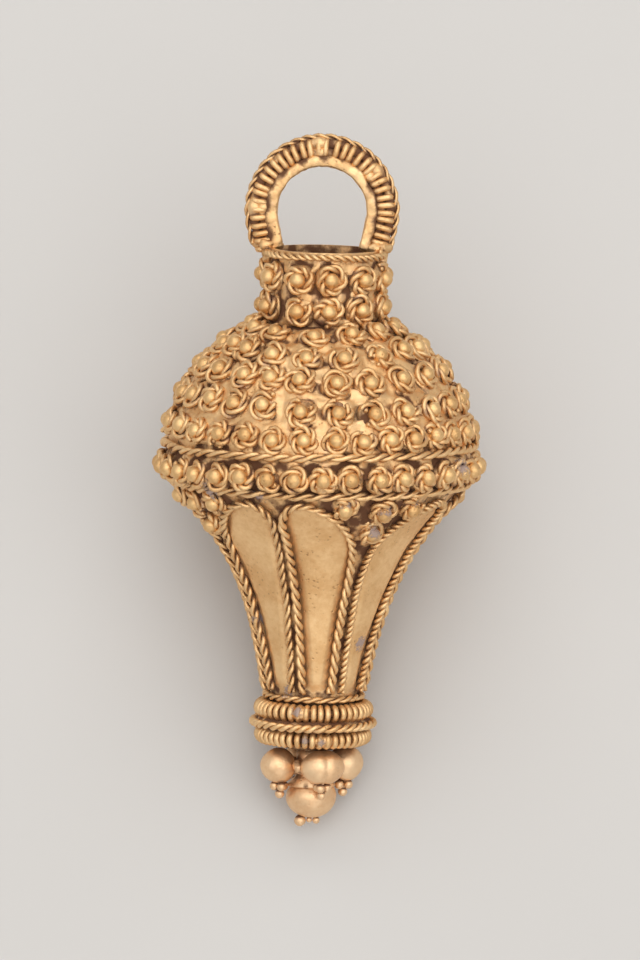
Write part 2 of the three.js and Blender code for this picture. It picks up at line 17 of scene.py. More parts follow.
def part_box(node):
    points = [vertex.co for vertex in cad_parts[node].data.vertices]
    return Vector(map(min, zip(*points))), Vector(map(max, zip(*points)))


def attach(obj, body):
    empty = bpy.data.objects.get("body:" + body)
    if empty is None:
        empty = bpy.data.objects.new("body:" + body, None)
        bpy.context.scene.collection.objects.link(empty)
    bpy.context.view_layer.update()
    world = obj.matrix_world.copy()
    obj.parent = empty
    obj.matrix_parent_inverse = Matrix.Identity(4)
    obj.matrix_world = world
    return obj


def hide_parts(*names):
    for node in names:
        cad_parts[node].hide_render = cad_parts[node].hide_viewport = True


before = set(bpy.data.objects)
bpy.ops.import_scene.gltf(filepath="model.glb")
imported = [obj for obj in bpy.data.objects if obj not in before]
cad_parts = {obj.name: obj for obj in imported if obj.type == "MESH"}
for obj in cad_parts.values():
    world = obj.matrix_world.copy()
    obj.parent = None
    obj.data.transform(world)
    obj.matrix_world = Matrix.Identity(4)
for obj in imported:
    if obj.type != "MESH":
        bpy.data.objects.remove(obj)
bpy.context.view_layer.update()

MILLIMETRE = 0.001
FULL_TURN = 2 * np.pi
DOWN = np.array([0.0, 0.0, -1.0])
BACKWARDS = np.array([0.0, 1.0, 0.0])
Array = np.ndarray
Colour = tuple[int, int, int]

log = logging.getLogger("pendant")


class Slot(Enum):
    """The record's material slots."""

    SHEET = "sheet_gold"
    WIRE = "wire_gold"
    GRANULE = "granule_gold"
    FINIAL = "finial_gold"


class Hand(Enum):
    """Which way the strands of a twisted wire turn."""

    RIGHT = 1.0
    LEFT = -1.0


@dataclass(frozen=True)
class Lie:
    """How the pendant lies on the table: its lean in degrees and its shifts in millimetres."""

    lean: float
    shift_y: float
    shift_z: float

    @classmethod
    def of_nodes(cls, upper: tuple[str, float], lower: tuple[str, float]) -> "Lie":
        """Finds the lie from two packed rings that are round about the axis.

        Args:
            upper: A node near the mouth and the height of its middle over the belt.
            lower: A node near the foot and the height of its middle.

        Returns:
            The lie.
        """
        middles = [sum(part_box(name), Vector()) / (2 * MILLIMETRE) for name, _ in (upper, lower)]
        lean = float(np.degrees(np.arctan2(middles[0].z - middles[1].z, middles[0].y - middles[1].y)))
        turned = cls(lean, 0.0, 0.0).turn(np.array([[0.0, 0.0, upper[1]]]))[0]
        return cls(lean, middles[0].y - float(turned[1]), middles[0].z - float(turned[2]))

    def turn(self, vectors: Array) -> Array:
        """Turns directions of the upright frame into the table's frame.

        Args:
            vectors: Directions, one a row.

        Returns:
            The same directions on the table.
        """
        sine, cosine = np.sin(np.radians(self.lean)), np.cos(np.radians(self.lean))
        x, y, z = vectors.T
        return np.column_stack([x, y * sine + z * cosine, z * sine - y * cosine])

    def to_table(self, points: Array) -> Array:
        """Carries points of the upright frame onto the table.

        Args:
            points: Points in millimetres, one a row.

        Returns:
            The points in metres. None is below the table: a piece is worn flat where it rests.
        """
        laid = self.turn(points) + np.array([0.0, self.shift_y, self.shift_z])
        laid[:, 2] = np.maximum(laid[:, 2], 0.0)
        return laid * MILLIMETRE


def around(azimuth: Array | float, radius: Array | float, z: Array | float) -> Array:
    """Points about the axis, at azimuths in degrees, 0 at the front and positive to the right."""
    angle = np.radians(azimuth)
    return np.stack(np.broadcast_arrays(radius * np.sin(angle), -radius * np.cos(angle), z), axis=-1)


def unit(vectors: Array) -> Array:
    """The same directions, each one long."""
    return vectors / np.maximum(np.linalg.norm(vectors, axis=-1, keepdims=True), 1e-12)


def ripple(points: Array, wavelength: float, seed: int, waves: int = 7) -> Array:
    """A smooth random relief, between about -1 and 1, that is the same on every run.

    Args:
        points: Where it is asked for, in millimetres.
        wavelength: The distance between its bumps.
        seed: Which relief.
        waves: How many waves are laid over each other.

    Returns:
        One height for each point.
    """
    rng = np.random.default_rng(seed)
    total = np.zeros(points.shape[:-1])
    for _ in range(waves):
        direction = unit(rng.normal(size=3)) * (2 * np.pi / wavelength) * rng.uniform(0.6, 1.5)
        total += np.sin(points @ direction + rng.uniform(0, 2 * np.pi))
    return total / np.sqrt(waves * 1.4)


def mottled(
    base: Array | float, depth: float, points: Array, wavelength: float, seed: int, waves: int = 7
) -> Array:
    """Uneven earth and painted shade from 0 to 1: a base and a ripple of some depth and wavelength over
    it.
    """
    return np.clip(base + depth * ripple(points, wavelength, seed, waves), 0, 1)


@dataclass
class Shape:
    """Faces over points, with the earth and painted shade that lie at each point, from 0 to 1."""

    points: Array
    quads: Array
    tris: Array
    earth_and_shade: Array

    @staticmethod
    def join(shapes: list["Shape"]) -> "Shape":
        """Several shapes as one.

        Args:
            shapes: The shapes, at least one.

        Returns:
            One shape with all their points and faces.
        """
        starts = np.cumsum([0] + [len(shape.points) for shape in shapes[:-1]])
        return Shape(
            np.concatenate([shape.points for shape in shapes]),
            np.concatenate([shape.quads + start for shape, start in zip(shapes, starts)]),
            np.concatenate([shape.tris + start for shape, start in zip(shapes, starts)]),
            np.concatenate([shape.earth_and_shade for shape in shapes]),
        )

    def facing_out(self) -> "Shape":
        """The same closed shape, with its faces turned outwards if they face in."""
        triangles = np.concatenate([self.quads[:, [0, 1, 2]], self.quads[:, [0, 2, 3]], self.tris])
        a, b, c = (self.points[triangles[:, k]] for k in range(3))
        if np.einsum("ij,ij->i", a, np.cross(b, c)).sum() < 0:
            self.quads = self.quads[:, ::-1]
            self.tris = self.tris[:, ::-1]
        return self


def lattice(points: Array, earth_and_shade: Array, wrap_rows: bool, poles: bool = False) -> Shape:
    """A closed skin over rows of points, each row a closed round.

    Args:
        points: The points, as rows, places in a row, and x, y and z.
        earth_and_shade: The earth and painted shade at each of them.
        wrap_rows: Whether the last row joins the first.
        poles: Whether the first and last rows are closed with a point in their middle.

    Returns:
        The skin, facing out.
    """
    rows, columns = points.shape[:2]
    index = np.arange(rows * columns).reshape(rows, columns)
    ahead = np.roll(index, -1, axis=1)
    below = np.roll(index, -1, axis=0)
    corner = np.roll(ahead, -1, axis=0)
    keep = slice(None) if wrap_rows else slice(0, rows - 1)
    quads = np.stack([index[keep], ahead[keep], corner[keep], below[keep]], axis=-1).reshape(-1, 4)
    flat = points.reshape(-1, 3)
    marks = earth_and_shade.reshape(-1)
    tris = np.empty((0, 3), dtype=int)
    if poles:
        first, last = len(flat), len(flat) + 1
        flat = np.concatenate([flat, points[:1].mean(axis=1), points[-1:].mean(axis=1)])
        marks = np.concatenate([marks, [earth_and_shade[0].mean(), earth_and_shade[-1].mean()]])
        start = np.stack([ahead[0], index[0], np.full(columns, first)], axis=-1)
        end = np.stack([index[-1], ahead[-1], np.full(columns, last)], axis=-1)
        tris = np.concatenate([start, end])
    return Shape(flat, quads, tris, marks).facing_out()


def resampled(path: Array, normals: Array, count: int, closed: bool) -> tuple[Array, Array]:
    """A path with its points spaced evenly.

    Args:
        path: Points along the path.
        normals: The direction away from what the path lies on, at each point.
        count: How many points it gets.
        closed: Whether the path joins its own start.

    Returns:
        The new points and normals.
    """
    if closed:
        path = np.concatenate([path, path[:1]])
        normals = np.concatenate([normals, normals[:1]])
    run = np.concatenate([[0.0], np.cumsum(np.linalg.norm(np.diff(path, axis=0), axis=1))])
    at = np.linspace(0.0, run[-1], count + 1)[:-1] if closed else np.linspace(0.0, run[-1], count)
    even = np.stack([np.interp(at, run, path[:, k]) for k in range(3)], axis=-1)
    upright = np.stack([np.interp(at, run, normals[:, k]) for k in range(3)], axis=-1)
    return even, unit(upright)


def length_of(path: Array, closed: bool) -> float:
    """The length of a path in millimetres."""
    whole = np.concatenate([path, path[:1]]) if closed else path
    return float(np.linalg.norm(np.diff(whole, axis=0), axis=1).sum())


def tangents(path: Array, closed: bool) -> Array:
    """The direction of a path at each of its points."""
    if closed:
        return unit(np.roll(path, -1, axis=0) - np.roll(path, 1, axis=0))
    return unit(np.gradient(path, axis=0))


def tube(path: Array, towards: Array, radius: Array | float, sides: int, closed: bool) -> Shape:
    """A round wire along a path, with its ends closed.

    Args:
        path: The wire's middle.
        towards: Which way its first corner points, at each point.
        radius: Its radius, or one radius for each point.
        sides: Corners in its section.
        closed: Whether it joins its own start.

    Returns:
        The wire, with no earth or painted shade on it.
    """
    along = tangents(path, closed)
    across = unit(np.cross(along, towards))
    out = np.cross(across, along)
    angle = np.linspace(0, FULL_TURN, sides, endpoint=False)
    size = np.broadcast_to(radius, len(path))[:, None, None]
    ring = np.cos(angle)[None, :, None] * out[:, None] + np.sin(angle)[None, :, None] * across[:, None]
    points = path[:, None] + size * ring
    return lattice(points, np.zeros(points.shape[:2]), closed, poles=not closed)


@dataclass(frozen=True)
class TwistedWire:
    """Two strands twisted together."""

    strand: float
    pitch: float
    hand: Hand = Hand.RIGHT
    sides: int = 6
    steps: int = 12

    @property
    def reach(self) -> float:
        """The radius of the whole twist."""
        return self.strand * 1.94

    def laid(self, path: Array, normals: Array, closed: bool, turns: int = 0, seed: int = 0) -> Shape:
        """The wire along a path.

        Args:
            path: The middle of the twist.
            normals: The direction away from what it lies on, at each point.
            closed: Whether it joins its own start.
            turns: How many whole turns it makes, or 0 for its own pitch.
            seed: Where the twist starts and how it wavers.

        Returns:
            Both strands, with earth and painted shade between them and on the side they lie on.
        """
        rng = np.random.default_rng(seed)
        length = length_of(path, closed)
        whole = turns or max(1, round(length / self.pitch))
        count = max(8, whole * self.steps)
        middle, upright = resampled(path, normals, count, closed)
        share = np.arange(count) / (count if closed else count - 1)
        waver = 0.35 * np.sin(2 * np.pi * share * max(1, whole // 3) + rng.uniform(0, 6))
        phase = self.hand.value * 2 * np.pi * whole * share + waver + rng.uniform(0, 6)
        across = unit(np.cross(tangents(middle, closed), upright))
        strands = []
        for start in (0.0, np.pi):
            arm = np.cos(phase + start)[:, None] * upright + np.sin(phase + start)[:, None] * across
            girth = self.strand * (1 + 0.05 * np.sin(share * 40 + start + rng.uniform(0, 6)))
            strand = tube(middle + arm * self.strand * 0.94, arm, girth, self.sides, closed)
            body = strand.points[: count * self.sides].reshape(count, self.sides, 3)
            offset = body - middle[:, None]
            # Painted shade with earth: darker on the side that faces the sheet and deep between the two
            # strands.
            height = np.einsum("ijk,ik->ij", offset, upright) / self.reach
            depth = 1 - np.linalg.norm(offset, axis=2) / self.reach
            held_earth_and_shade = np.clip(0.12 - 0.62 * height + 1.15 * depth, 0, 1)
            strand.earth_and_shade[: count * self.sides] = held_earth_and_shade.ravel()
            strands.append(strand)
        return Shape.join(strands)


def granule(
    centre: Array, out: Array, radius: float, seed: int, squash: float = 1.0, rows: int = 11
) -> Shape:
    """One small ball of gold, a little uneven, with earth and painted shade towards its seat.

    Args:
        centre: Its middle.
        out: The direction away from its seat.
        radius: Its radius.
        seed: Its own unevenness.
        squash: Its height over its width.
        rows: Rings of points between its poles.

    Returns:
        The ball.
    """
    columns = rows * 2 - 4
    side = unit(np.cross(out, [0.31, 0.2, 0.93]))
    third = np.cross(out, side)
    polar = np.linspace(0, np.pi, rows + 2)[1:-1][:, None]
    turn = np.linspace(0, FULL_TURN, columns, endpoint=False)[None]
    ball = (
        np.cos(polar)[..., None] * out * squash
        + (np.sin(polar) * np.cos(turn))[..., None] * side
        + (np.sin(polar) * np.sin(turn))[..., None] * third
    )
    uneven = 1 - 0.022 * (1 + ripple(ball, 1.6, seed, 4))
    # Painted shade with earth: the half of the ball towards its seat is darkened.
    low = np.clip(-0.1 - 1.25 * np.cos(polar), 0, 1) * np.ones_like(turn)
    points = centre + radius * ball * uneven[..., None]
    return lattice(points, low, False, poles=True)


@dataclass(frozen=True)
class Circlet:
    """A ring of twisted wire round a granule, bent by hand."""

    wire: TwistedWire = TwistedWire(strand=0.188, pitch=1.9, steps=18)
    open_share: float = 0.35
    opening: float = 50.0

    def round_granule(self, seat: Array, out: Array, up: Array, radius: float, seed: int) -> Shape:
        """One circlet.

        Args:
            seat: The point of the sheet under the granule.
            out: The direction away from the sheet.
            up: A direction along the sheet.
            radius: Its radius.
            seed: Its own bend.

        Returns:
            The circlet, lying on the sheet.
        """
        rng = np.random.default_rng(seed)
        side = np.cross(up, out)
        closed = rng.random() > self.open_share
        reach = 360.0 if closed else 360.0 - self.opening * rng.uniform(0.6, 1.3)
        turn = np.radians(np.linspace(0, reach, 48, endpoint=not closed)) + rng.uniform(0, 6)
        oval = 0.06 * np.cos(2 * turn + rng.uniform(0, 6)) + 0.04 * np.cos(3 * turn + rng.uniform(0, 6))
        size = radius * (rng.uniform(0.96, 1.05) + oval)
        tip = 0.09 * np.cos(turn + rng.uniform(0, 6)) + 0.05 * np.cos(2 * turn + rng.uniform(0, 6))
        path = (
            seat
            + (size * np.cos(turn))[:, None] * side
            + (size * np.sin(turn))[:, None] * up
            + (self.wire.reach + 0.02 + tip)[:, None] * out
        )
        normals = np.broadcast_to(out, path.shape)
        return self.wire.laid(path, normals, closed, turns=int(rng.integers(2, 4)), seed=seed)


@dataclass(frozen=True)
class Seat:
    """Where a granule sits on the sheet: its azimuth and latitude in degrees, its radius and height."""

    azimuth: float
    radius: float
    z: float
    latitude: float

    @property
    def point(self) -> Array:
        """The point of the sheet."""
        return around(self.azimuth, self.radius, self.z)

    @property
    def out(self) -> Array:
        """The direction away from the sheet."""
        angle = np.radians(self.latitude)
        return around(self.azimuth, np.cos(angle), np.sin(angle))

    @property
    def up(self) -> Array:
        """The direction up along the sheet."""
        angle = np.radians(self.latitude)
        return around(self.azimuth, -np.sin(angle), np.cos(angle))


def solder(seat: Array, out: Array, up: Array, radius: float, height: float, seed: int) -> Shape:
    """The lumpy fillet of solder and earth between a granule and its circlet.

    Args:
        seat: The point of the sheet under the granule.
        out: The direction away from the sheet.
        up: A direction along the sheet.
        radius: How far it spreads.
        height: How high it climbs the granule.
        seed: Its own lumps.

    Returns:
        The fillet, closed underneath.
    """
    side = np.cross(up, out)
    turn = np.linspace(0, FULL_TURN, 18, endpoint=False)[None]
    reach = np.array([1.42, 1.25, 1.05, 0.8, 0.5, 0.1])[:, None] * radius
    rise = np.array([-0.08, 0.16, 0.5, 0.55, 0.8, 1.0])[:, None] * height
    flat = (reach * np.cos(turn))[..., None] * side + (reach * np.sin(turn))[..., None] * up
    lumps = 1 + 0.3 * ripple(seat + flat, 0.8, seed, 5)
    points = seat + flat + (rise * lumps)[..., None] * out
    earth_and_shade = mottled(0.52, 0.45, points, 1.6, 17, 9)
    return lattice(points, earth_and_shade, False, poles=True)


def lump(middle: Array, sizes: tuple[float, float, float], seed: int) -> Shape:
    """A lump of solder.

    Args:
        middle: Its middle.
        sizes: Half its width, depth and height.
        seed: Its own shape.

    Returns:
        The lump, dirty in places.
    """
    turn = np.linspace(0, FULL_TURN, 30, endpoint=False)[None]
    polar = np.linspace(0.15, np.pi - 0.15, 14)[:, None]
    ball = np.stack(
        [np.sin(polar) * np.cos(turn), np.sin(polar) * np.sin(turn), np.cos(polar) + 0 * turn], axis=-1
    ) * np.array(sizes)
    uneven = 1 + 0.16 * ripple(ball, 0.9, seed) + 0.08 * ripple(ball, 0.4, seed + 50)
    points = middle + ball * uneven[..., None]
    earth_and_shade = mottled(0.3, 0.4, points, 0.8, seed + 100)
    return lattice(points, earth_and_shade, False, poles=True)


def linear(colour: Colour) -> tuple[float, float, float, float]:
    """A screen colour as the shader wants it.

    Args:
        colour: Red, green and blue, each from 0 to 255.

    Returns:
        The linear colour, opaque.
    """
    shares = [channel / 255 for channel in colour]
    r, g, b = (s / 12.92 if s <= 0.04045 else ((s + 0.055) / 1.055) ** 2.4 for s in shares)
    return (r, g, b, 1.0)


class Bench:
    """The nodes of one material."""

    def __init__(self, name: str) -> None:
        """Starts an empty material."""
        self.material = bpy.data.materials.new(name)
        self.material.use_nodes = True
        self.tree = self.material.node_tree
        self.tree.nodes.clear()

    def node(
        self, kind: str, settings: dict | None = None, sockets: dict | None = None, out: int = 0
    ) -> "Shade":
        """Adds any node.

        Args:
            kind: Its type.
            settings: Its own settings, set first.
            sockets: A value or a link for each input, by name or place.
            out: Which output is wanted.

        Returns:
            The output, ready for sums.
        """
        made = self.tree.nodes.new(kind)
        for key, value in (settings or {}).items():
            setattr(made, key, value)
        for key, value in (sockets or {}).items():
            socket = made.inputs[key]
            if isinstance(value, Shade):
                self.tree.links.new(value.socket, socket)
            else:
                socket.default_value = value
        return Shade(self, made.outputs[out] if len(made.outputs) else None)

    def place(self) -> "Shade":
        """Object coordinates, in metres."""
        return self.node("ShaderNodeTexCoord", out=3)

    def mark(self, name: str) -> "Shade":
        """A number that the mesh holds at each point."""
        return self.node("ShaderNodeAttribute", {"attribute_name": name}, out=2)

    def noise(
        self, scale: float, detail: float = 3.0, roughness: float = 0.5, stretch: float = 0.0
    ) -> "Shade":
        """Soft random values, from 0 to 1.

        Args:
            scale: Bumps to the metre.
            detail: Finer layers.
            roughness: How strong they are.
            stretch: How far the pattern is bent by another noise, in metres.

        Returns:
            The values.
        """
        where = self.place()
        if stretch:
            bent = self.node("ShaderNodeTexNoise", {}, {"Vector": where, "Scale": scale * 0.6}, out=1)
            vector = "ShaderNodeVectorMath"
            shift = self.node(vector, {"operation": "SCALE"}, {0: bent, "Scale": stretch})
            where = self.node(vector, {"operation": "ADD"}, {0: where, 1: shift})
        sockets = {"Vector": where, "Scale": scale, "Detail": detail, "Roughness": roughness}
        return self.node("ShaderNodeTexNoise", {}, sockets)

    def pits(self, scale: float) -> "Shade":
        """The distance to the nearest of many scattered points."""
        return self.node("ShaderNodeTexVoronoi", {}, {"Vector": self.place(), "Scale": scale})

    def blend(self, mask: "Shade | float", first: "Shade | Colour", second: "Shade | Colour") -> "Shade":
        """One colour over another.

        Args:
            mask: 0 for the first colour, 1 for the second.
            first: The colour below.
            second: The colour above.

        Returns:
            The mixed colour.
        """
        pair = [c if isinstance(c, Shade) else linear(c) for c in (first, second)]
        settings = {"data_type": "RGBA", "clamp_factor": True}
        return self.node("ShaderNodeMix", settings, {0: mask, 6: pair[0], 7: pair[1]}, out=2)


class Shade:
    """A socket that can stand in sums."""

    def __init__(self, bench: Bench, socket: bpy.types.NodeSocket) -> None:
        """Wraps a socket of a bench's nodes."""
        self.bench = bench
        self.socket = socket

    def _sum(self, operation: str, first: "Shade | float", second: "Shade | float") -> "Shade":
        """One Math node."""
        return self.bench.node("ShaderNodeMath", {"operation": operation}, {0: first, 1: second})

    def __add__(self, other: "Shade | float") -> "Shade":
        """self + other."""
        return self._sum("ADD", self, other)

    __radd__ = __add__

    def __sub__(self, other: "Shade | float") -> "Shade":
        """self - other."""
        return self._sum("SUBTRACT", self, other)

    def __rsub__(self, other: float) -> "Shade":
        """other - self."""
        return self._sum("SUBTRACT", other, self)

    def __mul__(self, other: "Shade | float") -> "Shade":
        """self * other."""
        return self._sum("MULTIPLY", self, other)

    __rmul__ = __mul__

    def clear(self, low: float, high: float) -> "Shade":
        """A soft step: 0 below low, 1 above high.

        Args:
            low: Where it starts to rise.
            high: Where it is full.

        Returns:
            The step.
        """
        settings = {"interpolation_type": "SMOOTHSTEP", "clamp": True}
        sockets = {"Value": self, "From Min": low, "From Max": high}
        return self.bench.node("ShaderNodeMapRange", settings, sockets)


@dataclass(frozen=True)
class GoldFinish:
    """Old gold: mottled, softly worn, with earth and painted shade in its recesses."""

    name: str
    slot: Slot
    pale: Colour = (248, 210, 157)
    deep: Colour = (226, 180, 124)
    ruddy: Colour = (176, 124, 84)
    # This dark colour stands for earth and for painted shade in the recesses.
    earth_and_shadow: Colour = (92, 54, 33)
    crust: Colour = (158, 140, 138)
    roughness: float = 0.46
    mottle: float = 420.0
    grain: float = 5200.0
    dents: float = 0.25
    specks: float = 0.35
    haze: float = 0.3
    haze_tone: Colour = (182, 146, 126)

    def material(self) -> bpy.types.Material:
        """Builds the finish.

        Returns:
            A material of nodes alone.
        """
        bench = Bench(self.name)
        cloud = bench.noise(self.mottle, 4.0, 0.6, stretch=0.0008)
        fine = bench.noise(self.grain * 0.45, 3.0, 0.65)
        grit = bench.noise(self.grain, 2.0, 0.6)
        held_earth_and_shade = bench.mark("earth_and_shade")
        # Earth and painted shade where the mark read above is high.
        soil_and_shade = (held_earth_and_shade + (fine - 0.5) * 0.7 + (cloud - 0.5) * 0.5).clear(0.38, 0.86)
        # Ruddy tone: tarnish from the noise, and a painted deeper shade in the recesses where the mark
        # read above is high.
        tarnish_and_shade = (held_earth_and_shade * 0.8 + (cloud - 0.5) * 1.3 + (grit - 0.5) * 0.4).clear(0.25, 0.9)
        strewn = (cloud + fine * 0.6).clear(0.74, 0.96)
        specks = (1.0 - bench.pits(self.grain * 0.5).clear(0.1, 0.3)) * strewn
        crust = (bench.mark("crust") + (fine - 0.5) * 0.9 + (grit - 0.5) * 0.5).clear(0.42, 0.7)
        colour = bench.blend((cloud * 0.7 + fine * 0.3).clear(0.32, 0.66), self.pale, self.deep)
        colour = bench.blend(tarnish_and_shade * 0.5, colour, self.ruddy)
        film = bench.noise(1100.0, 4.0, 0.62).clear(0.5, 0.64) * held_earth_and_shade.clear(0.02, 0.25)
        colour = bench.blend(film * self.haze, colour, self.haze_tone)
        colour = bench.blend(soil_and_shade * 0.92, colour, self.earth_and_shadow)
        colour = bench.blend(specks * self.specks, colour, self.earth_and_shadow)
        colour = bench.blend(crust * 0.85, colour, self.crust)
        rough = self.roughness + (fine - 0.5) * 0.16 + soil_and_shade * 0.38 + crust * 0.3 + tarnish_and_shade * 0.08
        metal = 0.92 - soil_and_shade * 0.7 - crust * 0.75
        relief = grit * 0.45 + fine * 0.6 + cloud * self.dents * 3.0 - specks * 0.8 + crust * 1.4
        normal = bench.node(
            "ShaderNodeBump", {}, {"Strength": 0.75, "Distance": 0.00006, "Height": relief}
        )
        surface = bench.node(
            "ShaderNodeBsdfPrincipled",
            {},
            {"Base Color": colour, "Roughness": rough, "Metallic": metal, "Normal": normal},
        )
        bench.node("ShaderNodeOutputMaterial", {}, {"Surface": surface})
        return bench.material


class Gold(Enum):
    """The finishes of the pendant."""

    SHEET = GoldFinish("hammered_sheet", Slot.SHEET, mottle=280.0, dents=0.4, roughness=0.52)
    WIRE = GoldFinish("drawn_wire", Slot.WIRE)
    CIRCLET = GoldFinish("circlet_wire", Slot.WIRE, roughness=0.52, haze=0.6)
    GRANULE = GoldFinish("granule", Slot.GRANULE, (242, 203, 146), (217, 170, 112), specks=0.25)
    BALL = GoldFinish(
        "finial_ball", Slot.FINIAL, (250, 214, 170), (236, 192, 146), mottle=340.0, specks=0.15
    )


@dataclass(frozen=True)
class Patch:
    """A patch of grey crust left on the gold."""

    azimuth: float
    z: float
    radius: float
    size: float


PATCHES = (
    Patch(-24.0, -1.6, 10.8, 0.9),
    Patch(-45.0, -1.2, 11.2, 1.2),
    Patch(-57.0, 5.6, 10.2, 0.6),
    Patch(11.0, -2.0, 10.7, 0.75),
    Patch(28.0, -2.4, 10.5, 0.9),
    Patch(42.0, -2.1, 10.6, 0.6),
    Patch(27.0, -4.1, 9.4, 0.9),
    Patch(-16.0, -18.2, 4.5, 0.75),
    Patch(-8.0, -20.4, 4.4, 0.6),
    Patch(9.0, -20.5, 4.4, 0.5),
    Patch(-34.0, -16.9, 3.6, 0.7),
    Patch(50.0, -13.1, 4.6, 0.9),
    Patch(-62.0, -11.5, 5.0, 0.8),
    Patch(62.0, 0.6, 12.0, 1.1),
    Patch(150.0, 3.5, 11.6, 1.4),
    Patch(215.0, -8.0, 6.6, 1.2),
    Patch(100.0, -11.0, 5.2, 0.9),
)


class Workshop:
    """Turns shapes into finished pieces that ride on the pendant."""

    def __init__(self, lie: Lie) -> None:
        """Mixes the finishes."""
        self.lie = lie
        self.materials = {gold: gold.value.material() for gold in Gold}

    def piece(self, name: str, shape: Shape, gold: Gold, *nodes: str) -> bpy.types.Object:
        """Makes one piece.

        Args:
            name: The piece's name.
            shape: Its shape, in the upright frame.
            gold: Its finish.
            nodes: The nodes that it stands for.

        Returns:
            The finished piece.
        """
        faces = shape.quads.tolist() + shape.tris.tolist()
        mesh = bpy.data.meshes.new(name)
        mesh.from_pydata(self.lie.to_table(shape.points).tolist(), [], faces)
        mesh.shade_smooth()
        # Stores the earth and painted shade, from 0 to 1, that the finishes darken by.
        self.mark(mesh, "earth_and_shade", shape.earth_and_shade)
        crust = np.zeros(len(shape.points))
        for patch in PATCHES:
            middle = around(patch.azimuth, patch.radius, patch.z)
            away = np.linalg.norm(shape.points - middle, axis=1) / patch.size
            crust = np.maximum(crust, 0.75 * np.exp(-(away**2)))
        self.mark(mesh, "crust", crust)
        mesh.materials.append(self.materials[gold])
        made = bpy.data.objects.new(name, mesh)
        bpy.context.scene.collection.objects.link(made)
        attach(made, "root")
        if nodes:
            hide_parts(*nodes)
        log.info("%s: %d faces", name, len(faces))
        return made

    @staticmethod
    def mark(mesh: bpy.types.Mesh, name: str, values: Array) -> None:
        """Stores one number for each point of a mesh."""
        stored = mesh.attributes.new(name, "FLOAT", "POINT")
        stored.data.foreach_set("value", np.ascontiguousarray(values, dtype=np.float32))


